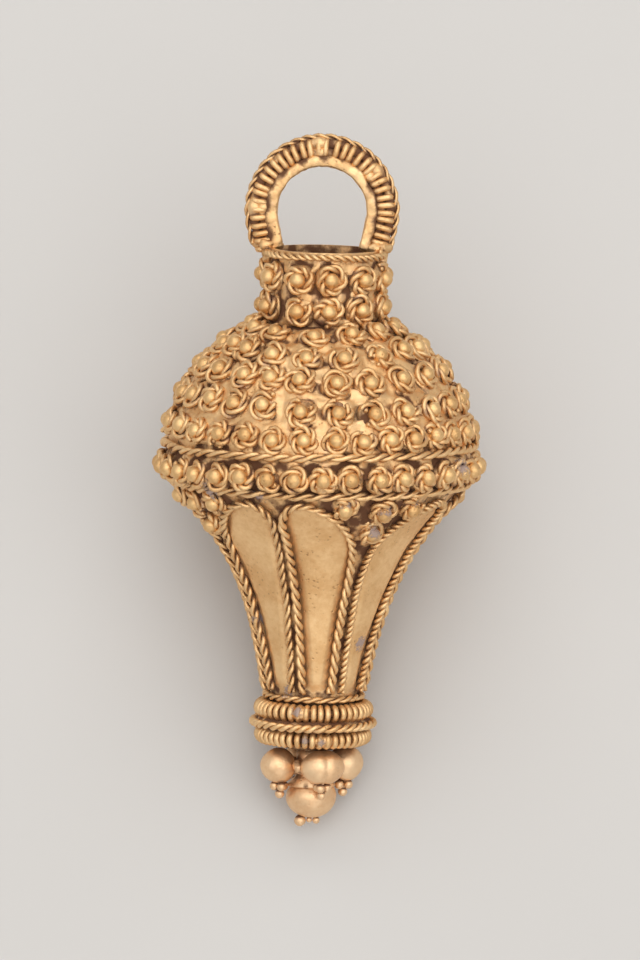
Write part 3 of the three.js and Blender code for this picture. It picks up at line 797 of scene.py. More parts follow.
@dataclass
class SheetBody:
    """The hollow body: neck, round shoulder, and a taper of eight pillowed tongues."""

    thickness: float = 0.3
    dome_radius: float = 11.35
    neck_radius: float = 4.1
    neck_height: float = 5.6
    hip_radius: float = 9.9
    hip_drop: float = 2.4
    waist_radius: float = 3.3
    taper_length: float = 15.0
    even_share: float = 0.48
    flare: float = 3.2
    foot_radius: float = 3.05
    foot_length: float = 4.0
    gap: float = 0.05
    tongues: int = 8
    first_valley: float = -19.0
    border_spacing: float = 0.8
    pillow: float = 0.42
    pillow_edge: float = 1.5
    tongue_corner: float = 0.75
    earth_and_shadow_outside: float = 0.9
    earth_and_shadow_inside: float = 0.26
    inside_earth_and_shade: float = 0.7
    foot_earth_and_shade: float = 0.8
    arch_shares: tuple[float, ...] = (0.0, 0.055, 0.13, 0.24, 0.36, 0.57, 0.76, 0.88, 0.95, 1.0)
    arch_drops: tuple[float, ...] = (3.7, 3.2, 2.35, 1.98, 2.1, 2.85, 4.1, 5.65, 7.6, 11.0)

    @property
    def neck_base(self) -> float:
        """Where the neck meets the shoulder."""
        return float(np.sqrt(self.dome_radius**2 - self.neck_radius**2))

    @property
    def mouth(self) -> float:
        """The height of the mouth."""
        return self.neck_base + self.neck_height

    @property
    def neck_middle(self) -> float:
        """The height of the middle of the neck's sheet."""
        return (self.neck_base - self.thickness + self.mouth) / 2

    @property
    def waist(self) -> float:
        """The height of the waist."""
        return -self.hip_drop - self.taper_length

    @property
    def foot(self) -> float:
        """The height of the closed foot."""
        return self.waist - self.foot_length

    def taper_radius(self, z: Array | float) -> Array:
        """The radius of the tapering sheet between the tongues.

        Args:
            z: Height over the belt.

        Returns:
            The radius at that height.
        """
        share = np.clip((np.asarray(z) - self.waist) / self.taper_length, 0, 1)
        curve = self.even_share * share + (1 - self.even_share) * share**self.flare
        hip = np.clip((np.asarray(z) + self.hip_drop) / self.hip_drop, 0, 1)
        widening = (self.dome_radius - self.hip_radius) * hip
        return self.waist_radius + (self.hip_radius - self.waist_radius) * curve + widening

    def taper_slope(self, z: Array | float) -> Array:
        """How fast the tapering sheet widens with its height."""
        step = 0.3
        return (self.taper_radius(z + step) - self.taper_radius(z - step)) / (2 * step)

    def taper_normal(self, azimuth: Array, z: Array) -> Array:
        """The direction away from the tapering sheet."""
        slope = self.taper_slope(z)
        return unit(around(azimuth, 1.0 + 0 * slope, -slope))

    def across_tongue(self, azimuth: Array) -> Array:
        """How far across its tongue an azimuth is, from 0 on its shallow side to 1."""
        place = np.mod((azimuth - self.first_valley) * self.tongues / 360, 2.0)
        return np.where(place < 1, place, 2 - place)

    def border_distance(self, azimuth: Array, z: Array) -> Array:
        """How far inside the border of its tongue a point of the taper is.

        Args:
            azimuth: Its azimuth.
            z: Its height.

        Returns:
            Millimetres, below zero outside the border.
        """
        share = self.across_tongue(azimuth)
        width = 2 * np.pi * self.taper_radius(z) / self.tongues
        side = np.minimum(share, 1 - share) * width - self.border_spacing / 2
        below = -np.interp(share, self.arch_shares, self.arch_drops) - z
        corner = self.tongue_corner
        end = corner - (z - self.waist - 0.45)
        rounded = corner - np.hypot(np.maximum(corner - side, 0), np.maximum(end, 0))
        return np.minimum(np.minimum(side, rounded), below * 0.8)

    @staticmethod
    def earth_and_shadow(
        points: Array, seats: list[Seat], seed: int, dryness: Array | float
    ) -> tuple[Array, Array]:
        """Solder, earth and painted shade round the circlets.

        Args:
            points: Points of a sheet.
            seats: Where the granules sit.
            seed: Its own patches.
            dryness: How much more solder than earth and painted shade there is.

        Returns:
            How high the solder stands at each point, from 0 to 1, and the earth and painted shade.
        """
        nearest = np.full(points.shape[:-1], 9.0)
        for seat in seats:
            nearest = np.minimum(nearest, np.linalg.norm(points - seat.point, axis=-1))
        close = np.exp(-((np.maximum(nearest - 1.0, 0) / 0.6) ** 2))
        patch = 0.8 * ripple(points, 2.6, seed, 9) + 0.8 * ripple(points, 1.3, seed + 1, 9)
        cover = np.clip((patch + 0.3 + dryness) / 0.5, 0, 1)
        # Painted shade with earth: darker close round the circlets where no solder covers the sheet.
        earth_and_shade = close * (0.95 - 0.85 * cover) + 0.1 * (1 - close)
        return close * cover, mottled(earth_and_shade, 0.12, points, 0.7, seed + 2)

    def seam_earth_and_shadow(self, points: Array, inside: Array) -> Array:
        """Earth and painted shadow along the borders of the tongues.

        Args:
            points: Points of the taper.
            inside: How far inside its tongue's border each is.

        Returns:
            How much earth and painted shadow lies at each point.
        """
        # Painted shadow with earth: darker on both sides of each border wire.
        near = np.exp(-((np.minimum(inside, 0.0) / self.earth_and_shadow_outside) ** 2))
        near = near * np.exp(-((np.maximum(inside, 0.0) / self.earth_and_shadow_inside) ** 2))
        uneven = 0.62 + 0.55 * ripple(points, 2.4, 14) + 0.3 * ripple(points, 0.8, 16)
        return near * np.clip(uneven, 0, 1.1)

    def tapering_sheet(self, seats: list[Seat]) -> Shape:
        """The tongued sheet with its closed foot and its inside.

        Args:
            seats: Where granules sit.

        Returns:
            The sheet.
        """
        azimuth = np.linspace(0, 360, 400, endpoint=False)[None]
        taper = np.linspace(self.waist, -self.hip_drop, 150)
        z = np.concatenate([taper, np.linspace(-self.hip_drop, 0, 20)[1:]])[:, None]
        radius = self.taper_radius(z)
        inside = self.border_distance(azimuth, z)
        fade = np.clip((z - self.waist) / 1.5, 0, 1)
        swell = 1 - (1 - np.clip((inside - 0.15) / self.pillow_edge, 0, 1)) ** 2
        rise = self.pillow * swell * fade
        plain = around(azimuth, radius, z)
        dent = 0.05 * ripple(plain, 5.0, 11) + 0.02 * ripple(plain, 1.7, 12)
        solder_rise, soil_and_shade = self.earth_and_shadow(plain, seats, 13, 0.0)
        outside = np.clip(0.5 - inside * 2.5, 0, 1)
        outer = around(azimuth, radius + rise + dent * (z < -0.5) + 0.2 * solder_rise * outside, z)
        # Painted shade with earth: the sheet outside the tongues, in the valleys between the border
        # wires, is darkened.
        bare = outside * mottled(soil_and_shade + 0.4, 0.45, plain, 1.8, 15)
        earth_and_shade = np.clip(np.maximum(self.seam_earth_and_shadow(plain, inside), bare), 0, 1)
        bevel = [[1.2, self.foot], [2.0, self.foot], [self.foot_radius, self.foot + 0.6]]
        low_rows = np.array([*bevel, [self.foot_radius, self.waist - self.gap]])
        low = around(azimuth, low_rows[:, :1], low_rows[:, 1:])
        inner = around(azimuth, radius[::-6] - self.thickness, z[::-6] + 0 * azimuth)
        well_radius = self.foot_radius - self.thickness
        well = np.array([[well_radius, self.waist], [well_radius, self.foot + self.thickness]])
        floor = around(azimuth, well[:, :1], well[:, 1:])
        points = np.concatenate([low, outer, inner, floor])
        # The foot under the coils, the inside and the well of the foot are darkened: earth and painted
        # shade.
        marks = [
            np.full(low.shape[:2], self.foot_earth_and_shade),
            earth_and_shade,
            np.full(inner.shape[:2], self.inside_earth_and_shade),
            np.ones(floor.shape[:2]),
        ]
        return lattice(points, np.concatenate(marks), False, poles=True)

    def ball_points(self, azimuth: Array, latitude: Array, radius: float) -> Array:
        """Points of the round shoulder at a radius."""
        angle = np.radians(latitude)
        return around(azimuth, radius * np.cos(angle), self.gap + radius * np.sin(angle))

    def dome_sheet(self, seats: list[Seat]) -> Shape:
        """The round shoulder.

        Args:
            seats: Where granules sit.

        Returns:
            The sheet, with solder, earth and painted shade along the rows.
        """
        top = float(np.degrees(np.arccos((self.neck_radius + self.gap) / self.dome_radius)))
        latitude = np.linspace(0, top, 120)[:, None]
        azimuth = np.linspace(0, 360, 380, endpoint=False)[None]
        plain = self.ball_points(azimuth, latitude, self.dome_radius)
        near_neck = np.clip((latitude - 55) / 8, 0, 1)
        near_belt = np.clip((10 - latitude) / 5, 0, 1)
        dryness = 0.42 - 1.0 * near_neck - 0.5 * near_belt
        solder_rise, soil_and_shade = self.earth_and_shadow(plain, seats, 21, dryness)
        dent = 0.05 * ripple(plain, 4.0, 24) + 0.05 * ripple(plain, 1.1, 25, 11) + 0.24 * solder_rise
        outer = plain * (1 + dent[..., None] / self.dome_radius)
        # Painted shade with earth: darker next to the belt and next to the neck.
        belt = np.clip(1.2 - latitude / 8, 0, 1) + np.clip((latitude - 64) / 4, 0, 1)
        earth_and_shade = np.clip(soil_and_shade + belt * (0.7 + 0.4 * ripple(plain, 1.6, 26)), 0, 1)
        inner_latitude = np.linspace(top, 0, 20)[:, None]
        inner = self.ball_points(azimuth, inner_latitude, self.dome_radius - self.thickness)
        points = np.concatenate([outer, inner])
        marks = np.concatenate([earth_and_shade, np.full(inner.shape[:2], self.inside_earth_and_shade)])
        return lattice(points, marks, True)

    def neck_sheet(self, seats: list[Seat]) -> Shape:
        """The open neck.

        Args:
            seats: Where granules sit.

        Returns:
            The sheet, darker inside with earth and painted shade.
        """
        azimuth = np.linspace(0, 360, 180, endpoint=False)[None]
        outer_z = np.linspace(self.neck_base - self.thickness, self.mouth, 60)[:, None]
        plain = around(azimuth, self.neck_radius, outer_z)
        solder_rise, soil_and_shade = self.earth_and_shadow(plain, seats, 31, -0.25)
        dent = 0.03 * ripple(plain, 2.4, 34) + 0.2 * solder_rise
        outer = around(azimuth, self.neck_radius + dent, outer_z)
        inner_z = outer_z[::-3]
        rough = around(azimuth, self.neck_radius - self.thickness, inner_z)
        inner_dent = 0.04 * ripple(rough, 1.2, 35)
        inner = around(azimuth, self.neck_radius - self.thickness - 0.04 + inner_dent, inner_z)
        # Painted shade with earth inside the neck.
        inside_stain_and_shade = mottled(0.66, 0.25, rough, 1.5, 36)
        points = np.concatenate([outer, inner])
        return lattice(points, np.concatenate([np.clip(soil_and_shade + 0.12, 0, 1), inside_stain_and_shade]), True)

    def make(self, shop: Workshop, seats: list[Seat]) -> None:
        """Makes the three sheets.

        Args:
            shop: Where the pieces are finished.
            seats: Where granules sit.
        """
        shop.piece("neck_sheet", self.neck_sheet(seats), Gold.SHEET, "neck_tube")
        shop.piece("shoulder_sheet", self.dome_sheet(seats), Gold.SHEET, "shoulder_dome")
        shop.piece("tongued_sheet", self.tapering_sheet(seats), Gold.SHEET, "tapering_body")


@dataclass
class GranuleWork:
    """Granules in circlets, seated on the sheet."""

    body: SheetBody
    radius: float = 0.62
    circlet: Circlet = Circlet()

    def ringed(self, seat: Seat, lift: float, ring_radius: float, seed: int) -> tuple[Shape, Shape]:
        """One granule in its circlet.

        Args:
            seat: Where it sits.
            lift: How high the granule's middle is over the sheet.
            ring_radius: The radius of its circlet.
            seed: Its own unevenness.

        Returns:
            The granule, and its circlet with the solder.
        """
        rng = np.random.default_rng(seed)
        point, out = seat.point, seat.out
        tipped = unit(out + 0.09 * rng.normal(size=3))
        ball = granule(point + out * lift, tipped, self.radius * rng.uniform(0.96, 1.0), seed)
        tilted = unit(out + 0.06 * rng.normal(size=3))
        ring = self.circlet.round_granule(point, tilted, seat.up, ring_radius, seed)
        ring.earth_and_shade = ring.earth_and_shade * np.clip(0.6 + 0.6 * ripple(ring.points, 2.6, 19), 0.1, 1.1)
        fillet = solder(point, out, seat.up, ring_radius, lift * 0.92, seed)
        return ball, Shape.join([ring, fillet])

    def row(
        self,
        shop: Workshop,
        node: str,
        seats: list[Seat],
        lift: float,
        seed: int,
        ring_radius: float = 0.77,
    ) -> None:
        """Makes one row or cluster of ringed granules.

        Args:
            shop: Where the pieces are finished.
            node: The node that it stands for.
            seats: Where its granules sit.
            lift: How high their middles are over the sheet.
            seed: Its own unevenness.
            ring_radius: The radius of the circlets.
        """
        made = [self.ringed(seat, lift, ring_radius, seed + i) for i, seat in enumerate(seats)]
        balls = Shape.join([ball for ball, _ in made])
        rings = Shape.join([ring for _, ring in made])
        shop.piece(f"{node}_grains", balls, Gold.GRANULE, node)
        shop.piece(f"{node}_circlets", rings, Gold.CIRCLET, node)


@dataclass
class Shoulder(GranuleWork):
    """The rows of granules on the neck and the shoulder.

    The front azimuths are those of the granules that are seen from the front; the others are spread
    evenly over the rest of the round.
    """

    first_latitude: float = 15.0
    latitude_step: float = 12.0
    counts: tuple[int, ...] = (31, 26, 22, 20, 14)
    front_azimuths: tuple[tuple[float, ...], ...] = (
        (-80, -66, -54, -41, -29, -18, -6, 6, 16.5, 27.5, 38, 49, 60, 72, 84),
        (-78, -65, -51, -37.5, -24, -8, 7, 22, 36.5, 51, 64.5, 78),
        (-73, -56, -38, -24, -10, 7, 22.5, 40, 58, 76),
        (-76, -62, -47, -28, -8, 12, 33.5, 54, 72),
        (-63, -37, -6, 22, 48, 75),
    )
    sags: tuple[tuple[float, float], ...] = (
        (0.0, 1.1), (24.0, 3.2), (8.0, 3.0), (-3.0, 4.2), (-15.0, 4.6)
    )
    ring_radii: tuple[float, ...] = (0.78, 0.89, 0.9, 0.88, 0.88)
    seat: float = 0.46
    neck_drops: tuple[float, ...] = (2.0, 4.25)
    neck_count: int = 12
    neck_azimuths: tuple[tuple[float, ...], ...] = (
        (-92, -62, -25, 7, 41, 75, 103),
        (-96, -66, -25, 5, 38.5, 73, 103),
    )
    neck_seat: float = 0.58
    neck_ring_radius: float = 0.86

    @staticmethod
    def spread(front: tuple[float, ...], count: int, rng: np.random.Generator) -> list[float]:
        """Azimuths all round: those of the front, and the rest spaced evenly behind."""
        hidden = count - len(front)
        rest = np.linspace(front[-1], front[0] + 360, hidden + 2)[1:-1] + rng.normal(0, 0.5, hidden)
        return [float(azimuth) for azimuth in (*front, *rest)]

    def shoulder_row(self, k: int) -> list[Seat]:
        """The seats of one row of the shoulder, counted from the lowest."""
        rng = np.random.default_rng(400 + k)
        lowest, sag = self.sags[k]
        seats = []
        for azimuth in self.spread(self.front_azimuths[k], self.counts[k], rng):
            latitude = self.first_latitude + self.latitude_step * k + rng.normal(0, 0.4)
            latitude -= sag * max(0.0, np.cos(np.radians(azimuth - lowest))) ** 3
            angle = np.radians(latitude)
            height = self.body.gap + self.body.dome_radius * np.sin(angle)
            seats.append(Seat(azimuth, self.body.dome_radius * np.cos(angle), height, latitude))
        return seats

    def neck_row(self, k: int) -> list[Seat]:
        """The seats of one row of the neck, counted from the mouth."""
        rng = np.random.default_rng(450 + k)
        height = self.body.mouth - self.neck_drops[k]
        azimuths = self.spread(self.neck_azimuths[k], self.neck_count, rng)
        return [Seat(a, self.body.neck_radius, height + rng.normal(0, 0.08), 0.0) for a in azimuths]

    def seats(self) -> list[Seat]:
        """All the seats."""
        rows = [self.shoulder_row(k) for k in range(len(self.counts))]
        return sum(rows + [self.neck_row(k) for k in range(len(self.neck_drops))], [])

    def make(self, shop: Workshop) -> None:
        """Makes every row.

        Args:
            shop: Where the pieces are finished.
        """
        for k in range(len(self.counts)):
            node, seats = f"shoulder_granule_row_{k + 1}", self.shoulder_row(k)
            self.row(shop, node, seats, self.seat, 1000 * k, self.ring_radii[k])
        for k in range(len(self.neck_drops)):
            node, seats = f"neck_granule_row_{k + 1}", self.neck_row(k)
            self.row(shop, node, seats, self.neck_seat, 7000 + 100 * k, self.neck_ring_radius)


@dataclass
class Belt(GranuleWork):
    """The belt: granules between two twisted wires."""

    count: int = 35
    first_azimuth: float = 1.4
    slant: float = 0.017
    lift: float = 0.63
    upper_rise: float = 1.55
    lower_share: float = 0.45
    rope: TwistedWire = TwistedWire(strand=0.178, pitch=2.5, hand=Hand.LEFT, steps=14)

    def seats(self) -> list[Seat]:
        """Where the belt's granules sit."""
        rng = np.random.default_rng(500)
        seats = []
        for k in range(self.count):
            azimuth = self.first_azimuth + 360 * k / self.count + rng.normal(0, 0.3)
            across = self.body.dome_radius * np.sin(np.radians(azimuth))
            height = self.slant * across + rng.normal(0, 0.05)
            seats.append(Seat(azimuth, self.body.dome_radius, height, 0.0))
        return seats

    def ring(self, radius: float, z: float, latitude: float, seed: int) -> Shape:
        """One twisted wire round the pendant, lying on the sheet.

        Args:
            radius: The sheet's radius there.
            z: Its height.
            latitude: How far the sheet faces up, in degrees.
            seed: Its own waver.

        Returns:
            The wire.
        """
        azimuth = np.linspace(0, 360, 360, endpoint=False)
        angle = np.radians(latitude)
        normals = around(azimuth, np.cos(angle), np.sin(angle))
        ups = around(azimuth, -np.sin(angle), np.cos(angle))
        path = around(azimuth, radius, z) + normals * (self.rope.reach + self.body.gap)
        path = path + ups * (0.07 * ripple(path, 6.0, seed) + self.slant * path[:, 0])[:, None]
        return self.rope.laid(path, normals, True, seed=seed)

    def make(self, shop: Workshop) -> None:
        """Makes the belt.

        Args:
            shop: Where the pieces are finished.
        """
        self.row(shop, "belt_granule_row", self.seats(), self.lift, 5000)
        upper_latitude = float(np.degrees(np.arcsin(self.upper_rise / self.body.dome_radius)))
        upper_radius = float(np.sqrt(self.body.dome_radius**2 - self.upper_rise**2))
        upper = self.ring(upper_radius, self.upper_rise, upper_latitude, 41)
        shop.piece("belt_wire_upper", upper, Gold.WIRE, "belt_rope_upper")
        step = self.body.dome_radius - self.body.hip_radius
        lower_latitude = -float(np.degrees(np.arctan2(step, self.body.hip_drop)))
        lower_radius = self.body.dome_radius - step * self.lower_share
        lower = self.ring(lower_radius, -self.body.hip_drop * self.lower_share, lower_latitude, 42)
        shop.piece("belt_wire_lower", lower, Gold.WIRE, "belt_rope_lower")


@dataclass
class Tongues(GranuleWork):
    """The wires that border the tongues, and the granule clusters between them."""

    ropes: tuple[TwistedWire, TwistedWire] = (
        TwistedWire(strand=0.175, pitch=1.85, hand=Hand.RIGHT, steps=12),
        TwistedWire(strand=0.178, pitch=1.8, hand=Hand.LEFT, steps=12),
    )
    tight_rope: TwistedWire = TwistedWire(strand=0.168, pitch=1.05, hand=Hand.RIGHT, steps=12)
    tight_number: int = 3
    cluster_places: tuple[tuple[float, float], ...] = (
        (-15.0, 2.05), (1.8, 2.3), (16.0, 2.15), (1.0, 4.0)
    )
    cluster_lift: float = 0.57

    def border(self, rope: TwistedWire, valley: float, direction: int, seed: int) -> Shape:
        """The wire round one tongue.

        Args:
            rope: The twisted wire.
            valley: The azimuth of its shallow side.
            direction: 1 where the tongue lies to the right of it, or -1.
            seed: Its own waver.

        Returns:
            The wire, from the waist over the arch to the waist.
        """
        body = self.body
        pitch = 360 / body.tongues
        lowest = body.waist + 0.62

        def inset(z: Array) -> Array:
            """Half the border's spacing, in degrees."""
            return np.degrees(body.border_spacing / 2 / body.taper_radius(z))

        rising = np.linspace(lowest, -3.3, 18)
        falling = np.linspace(-8.6, lowest, 12)
        shares = np.array(body.arch_shares[2:8])
        drops = np.array(body.arch_drops[2:8])
        across = np.concatenate([inset(rising), shares * pitch, pitch - inset(falling)])
        height = np.concatenate([rising, -drops, falling])
        knots = np.column_stack([across * 0.1, height])
        dense = self.smooth(knots, 14)
        across, height = dense[:, 0] / 0.1, dense[:, 1]
        azimuth = valley + direction * across
        normals = body.taper_normal(azimuth, height)
        rise = 0.03 + rope.reach
        path = around(azimuth, body.taper_radius(height), height) + normals * rise
        path = path + 0.035 * ripple(path, 5.0, seed)[:, None]
        return rope.laid(path, normals, False, seed=seed)

    @staticmethod
    def smooth(knots: Array, steps: int) -> Array:
        """A smooth line through points, by a cubic between each two.

        Args:
            knots: The points, one a row.
            steps: Points for each stretch.

        Returns:
            The line's points.
        """
        padded = np.concatenate([knots[:1], knots, knots[-1:]])
        share = np.linspace(0, 1, steps, endpoint=False)[:, None]
        stretches = []
        for k in range(len(knots) - 1):
            a, b, c, d = padded[k : k + 4]
            stretch = 2 * b + (c - a) * share + (2 * a - 5 * b + 4 * c - d) * share**2
            stretches.append(0.5 * (stretch + (3 * b - a - 3 * c + d) * share**3))
        return np.concatenate(stretches + [knots[-1:]])

    def cluster(self, pair: int) -> list[Seat]:
        """Where three granules under the belt and one below them sit."""
        azimuth = self.body.first_valley + (2 * pair + 1) * 360 / self.body.tongues
        seats = []
        for offset, drop in self.cluster_places:
            latitude = -float(np.degrees(np.arctan(self.body.taper_slope(-drop))))
            seats.append(Seat(azimuth + offset, float(self.body.taper_radius(-drop)), -drop, latitude))
        return seats

    def seats(self) -> list[Seat]:
        """Where all the clusters' granules sit."""
        return sum([self.cluster(pair) for pair in range(self.body.tongues // 2)], [])

    def make(self, shop: Workshop) -> None:
        """Makes the borders and the clusters.

        Args:
            shop: Where the pieces are finished.
        """
        pitch = 360 / self.body.tongues
        for pair in range(self.body.tongues // 2):
            valley = self.body.first_valley + 2 * pair * pitch
            for side, direction in enumerate((-1, 1)):
                number = 2 * pair + side + 1
                rope = self.tight_rope if number == self.tight_number else self.ropes[side]
                wire = self.border(rope, valley, direction, 60 + number)
                shop.piece(f"tongue_wire_{number}", wire, Gold.WIRE, f"tongue_border_{number}")
            node, seats = f"granule_cluster_{pair + 1}", self.cluster(pair)
            self.row(shop, node, seats, self.cluster_lift, 8000 + 10 * pair)


@dataclass
class Collars:
    """The twisted wires at the mouth and waist, and the coiled wires on the foot."""

    body: SheetBody
    windings: int = 45
    upper_coil: float = 0.71
    lower_coil: float = 0.67
    wire: float = 0.225
    clogs: tuple[float, float] = (14.0, -14.0)
    groove: float = 0.62
    reach: float = 1.12
    bed_reach: float = 0.84
    bed_radius: float = 0.44
    fine_radius: float = 0.26
    mouth_wire: TwistedWire = TwistedWire(strand=0.155, pitch=1.3, hand=Hand.RIGHT)
    waist_wire: TwistedWire = TwistedWire(strand=0.14, pitch=1.7, hand=Hand.LEFT)
    collar_wire: TwistedWire = TwistedWire(strand=0.172, pitch=1.5, hand=Hand.LEFT)

    @property
    def upper_z(self) -> float:
        """The height of the upper coil's middle."""
        return self.body.waist - self.fine_radius - self.body.gap - self.upper_coil

    def coil(self, ring_radius: float, z: float, section: float, seed: int) -> Shape:
        """A wire wound into a coil and bent into a ring.

        Args:
            ring_radius: The middle of the coil's section, from the axis.
            z: Its height.
            section: The radius of its section, outside.
            seed: Its own unevenness.

        Returns:
            The coil, with earth and painted shade on its inner side and between its windings.
        """
        count = self.windings * 18
        share = np.arange(count) / count
        turn = 2 * np.pi * self.windings * share
        whole = np.round(self.windings * share)
        part = self.windings * share - whole
        stepped = whole + 0.5 * np.sign(part) * np.abs(2 * part) ** 3
        circle = np.column_stack([np.cos(2 * np.pi * share), np.sin(2 * np.pi * share), 0 * share])
        azimuth = 360 * stepped / self.windings + 0.9 * ripple(circle, 0.6, seed)
        arm = (section - self.wire) * (1 + 0.03 * np.sin(9 * 2 * np.pi * share))
        path = around(azimuth, ring_radius + arm * np.cos(turn), z + arm * np.sin(turn))
        middle = around(azimuth, ring_radius, z)
        wound = tube(path, unit(path - middle), self.wire, 7, True)
        # Painted shade with earth: darker on the side of each winding that faces the foot.
        inner = -np.repeat(np.cos(turn), 7)
        wound.earth_and_shade = mottled(0.15 + 0.5 * inner, 0.25, wound.points, 2.0, seed + 1)
        return wound

    def packing(self, ring_radius: float, z: float, section: float, seed: int) -> Shape:
        """The earth and solder inside a coil, which fills some gaps between its windings; it is dark
        with earth and painted shade, paler where it clogs.
        """
        azimuth = np.linspace(0, 360, 220, endpoint=False)
        path = around(azimuth, ring_radius, z)
        clogged = np.exp(-(((azimuth + 180) % 360 - 180 - self.clogs[seed % 2]) / 11) ** 2)
        swell = (section - self.wire * 1.9) * (1 + 0.1 * ripple(path, 1.8, seed)) + 0.3 * clogged
        filled = tube(path, around(azimuth, 1.0, 0.0), swell, 12, True)
        # Painted shade with earth: the core seen between the windings is nearly black.
        filled.earth_and_shade = mottled(0.95, 0.2, filled.points, 1.0, seed)
        filled.earth_and_shade[: len(path) * 12] -= 0.55 * np.repeat(clogged, 12)
        return filled

    def bed(self, z: float) -> Shape:
        """The earth between the two coils, behind the twisted wire, dark with earth and painted shade.
        """
        azimuth = np.linspace(0, 360, 160, endpoint=False)
        path = around(azimuth, self.body.foot_radius + self.bed_reach, z)
        swell = self.bed_radius * (1 + 0.08 * ripple(path, 1.5, 78))
        filled = tube(path, around(azimuth, 1.0, 0.0), swell, 12, True)
        # Painted shade with earth in the groove.
        filled.earth_and_shade = mottled(0.9, 0.2, filled.points, 1.0, 79)
        return filled

    def ring(self, wire: TwistedWire, seat: float, z: float, seed: int) -> Shape:
        """A twisted wire round the neck or foot."""
        azimuth = np.linspace(0, 360, 180, endpoint=False)
        normals = around(azimuth, 1.0, 0.0)
        path = around(azimuth, seat + self.body.gap + wire.reach, z)
        path[:, 2] += 0.05 * ripple(path, 5.0, seed)
        return wire.laid(path, normals, True, seed=seed)

    def make(self, shop: Workshop) -> None:
        """Makes the collars.

        Args:
            shop: Where the pieces are finished.
        """
        body = self.body
        mouth = self.ring(self.mouth_wire, body.neck_radius, body.mouth - 0.33, 71)
        shop.piece("mouth_wire", mouth, Gold.WIRE, "mouth_rope")
        waist = self.ring(self.waist_wire, body.waist_radius, body.waist, 72)
        shop.piece("waist_wire", waist, Gold.WIRE, "waist_rope")
        upper_z = self.upper_z
        lower_z = upper_z - self.upper_coil - self.groove - self.lower_coil
        for name, z, section, seed in (
            ("collar_coil_upper", upper_z, self.upper_coil, 73),
            ("collar_coil_lower", lower_z, self.lower_coil, 76),
        ):
            ring_radius = body.foot_radius + body.gap + section
            shape = Shape.join(
                [self.coil(ring_radius, z, section, seed), self.packing(ring_radius, z, section, seed)]
            )
            shop.piece(f"{name}_wound", shape, Gold.WIRE, name)
        rope_z = upper_z - self.upper_coil - self.groove / 2
        rope = self.ring(self.collar_wire, body.foot_radius + self.reach - body.gap, rope_z, 77)
        shop.piece("collar_wire", Shape.join([rope, self.bed(rope_z)]), Gold.WIRE, "collar_rope")


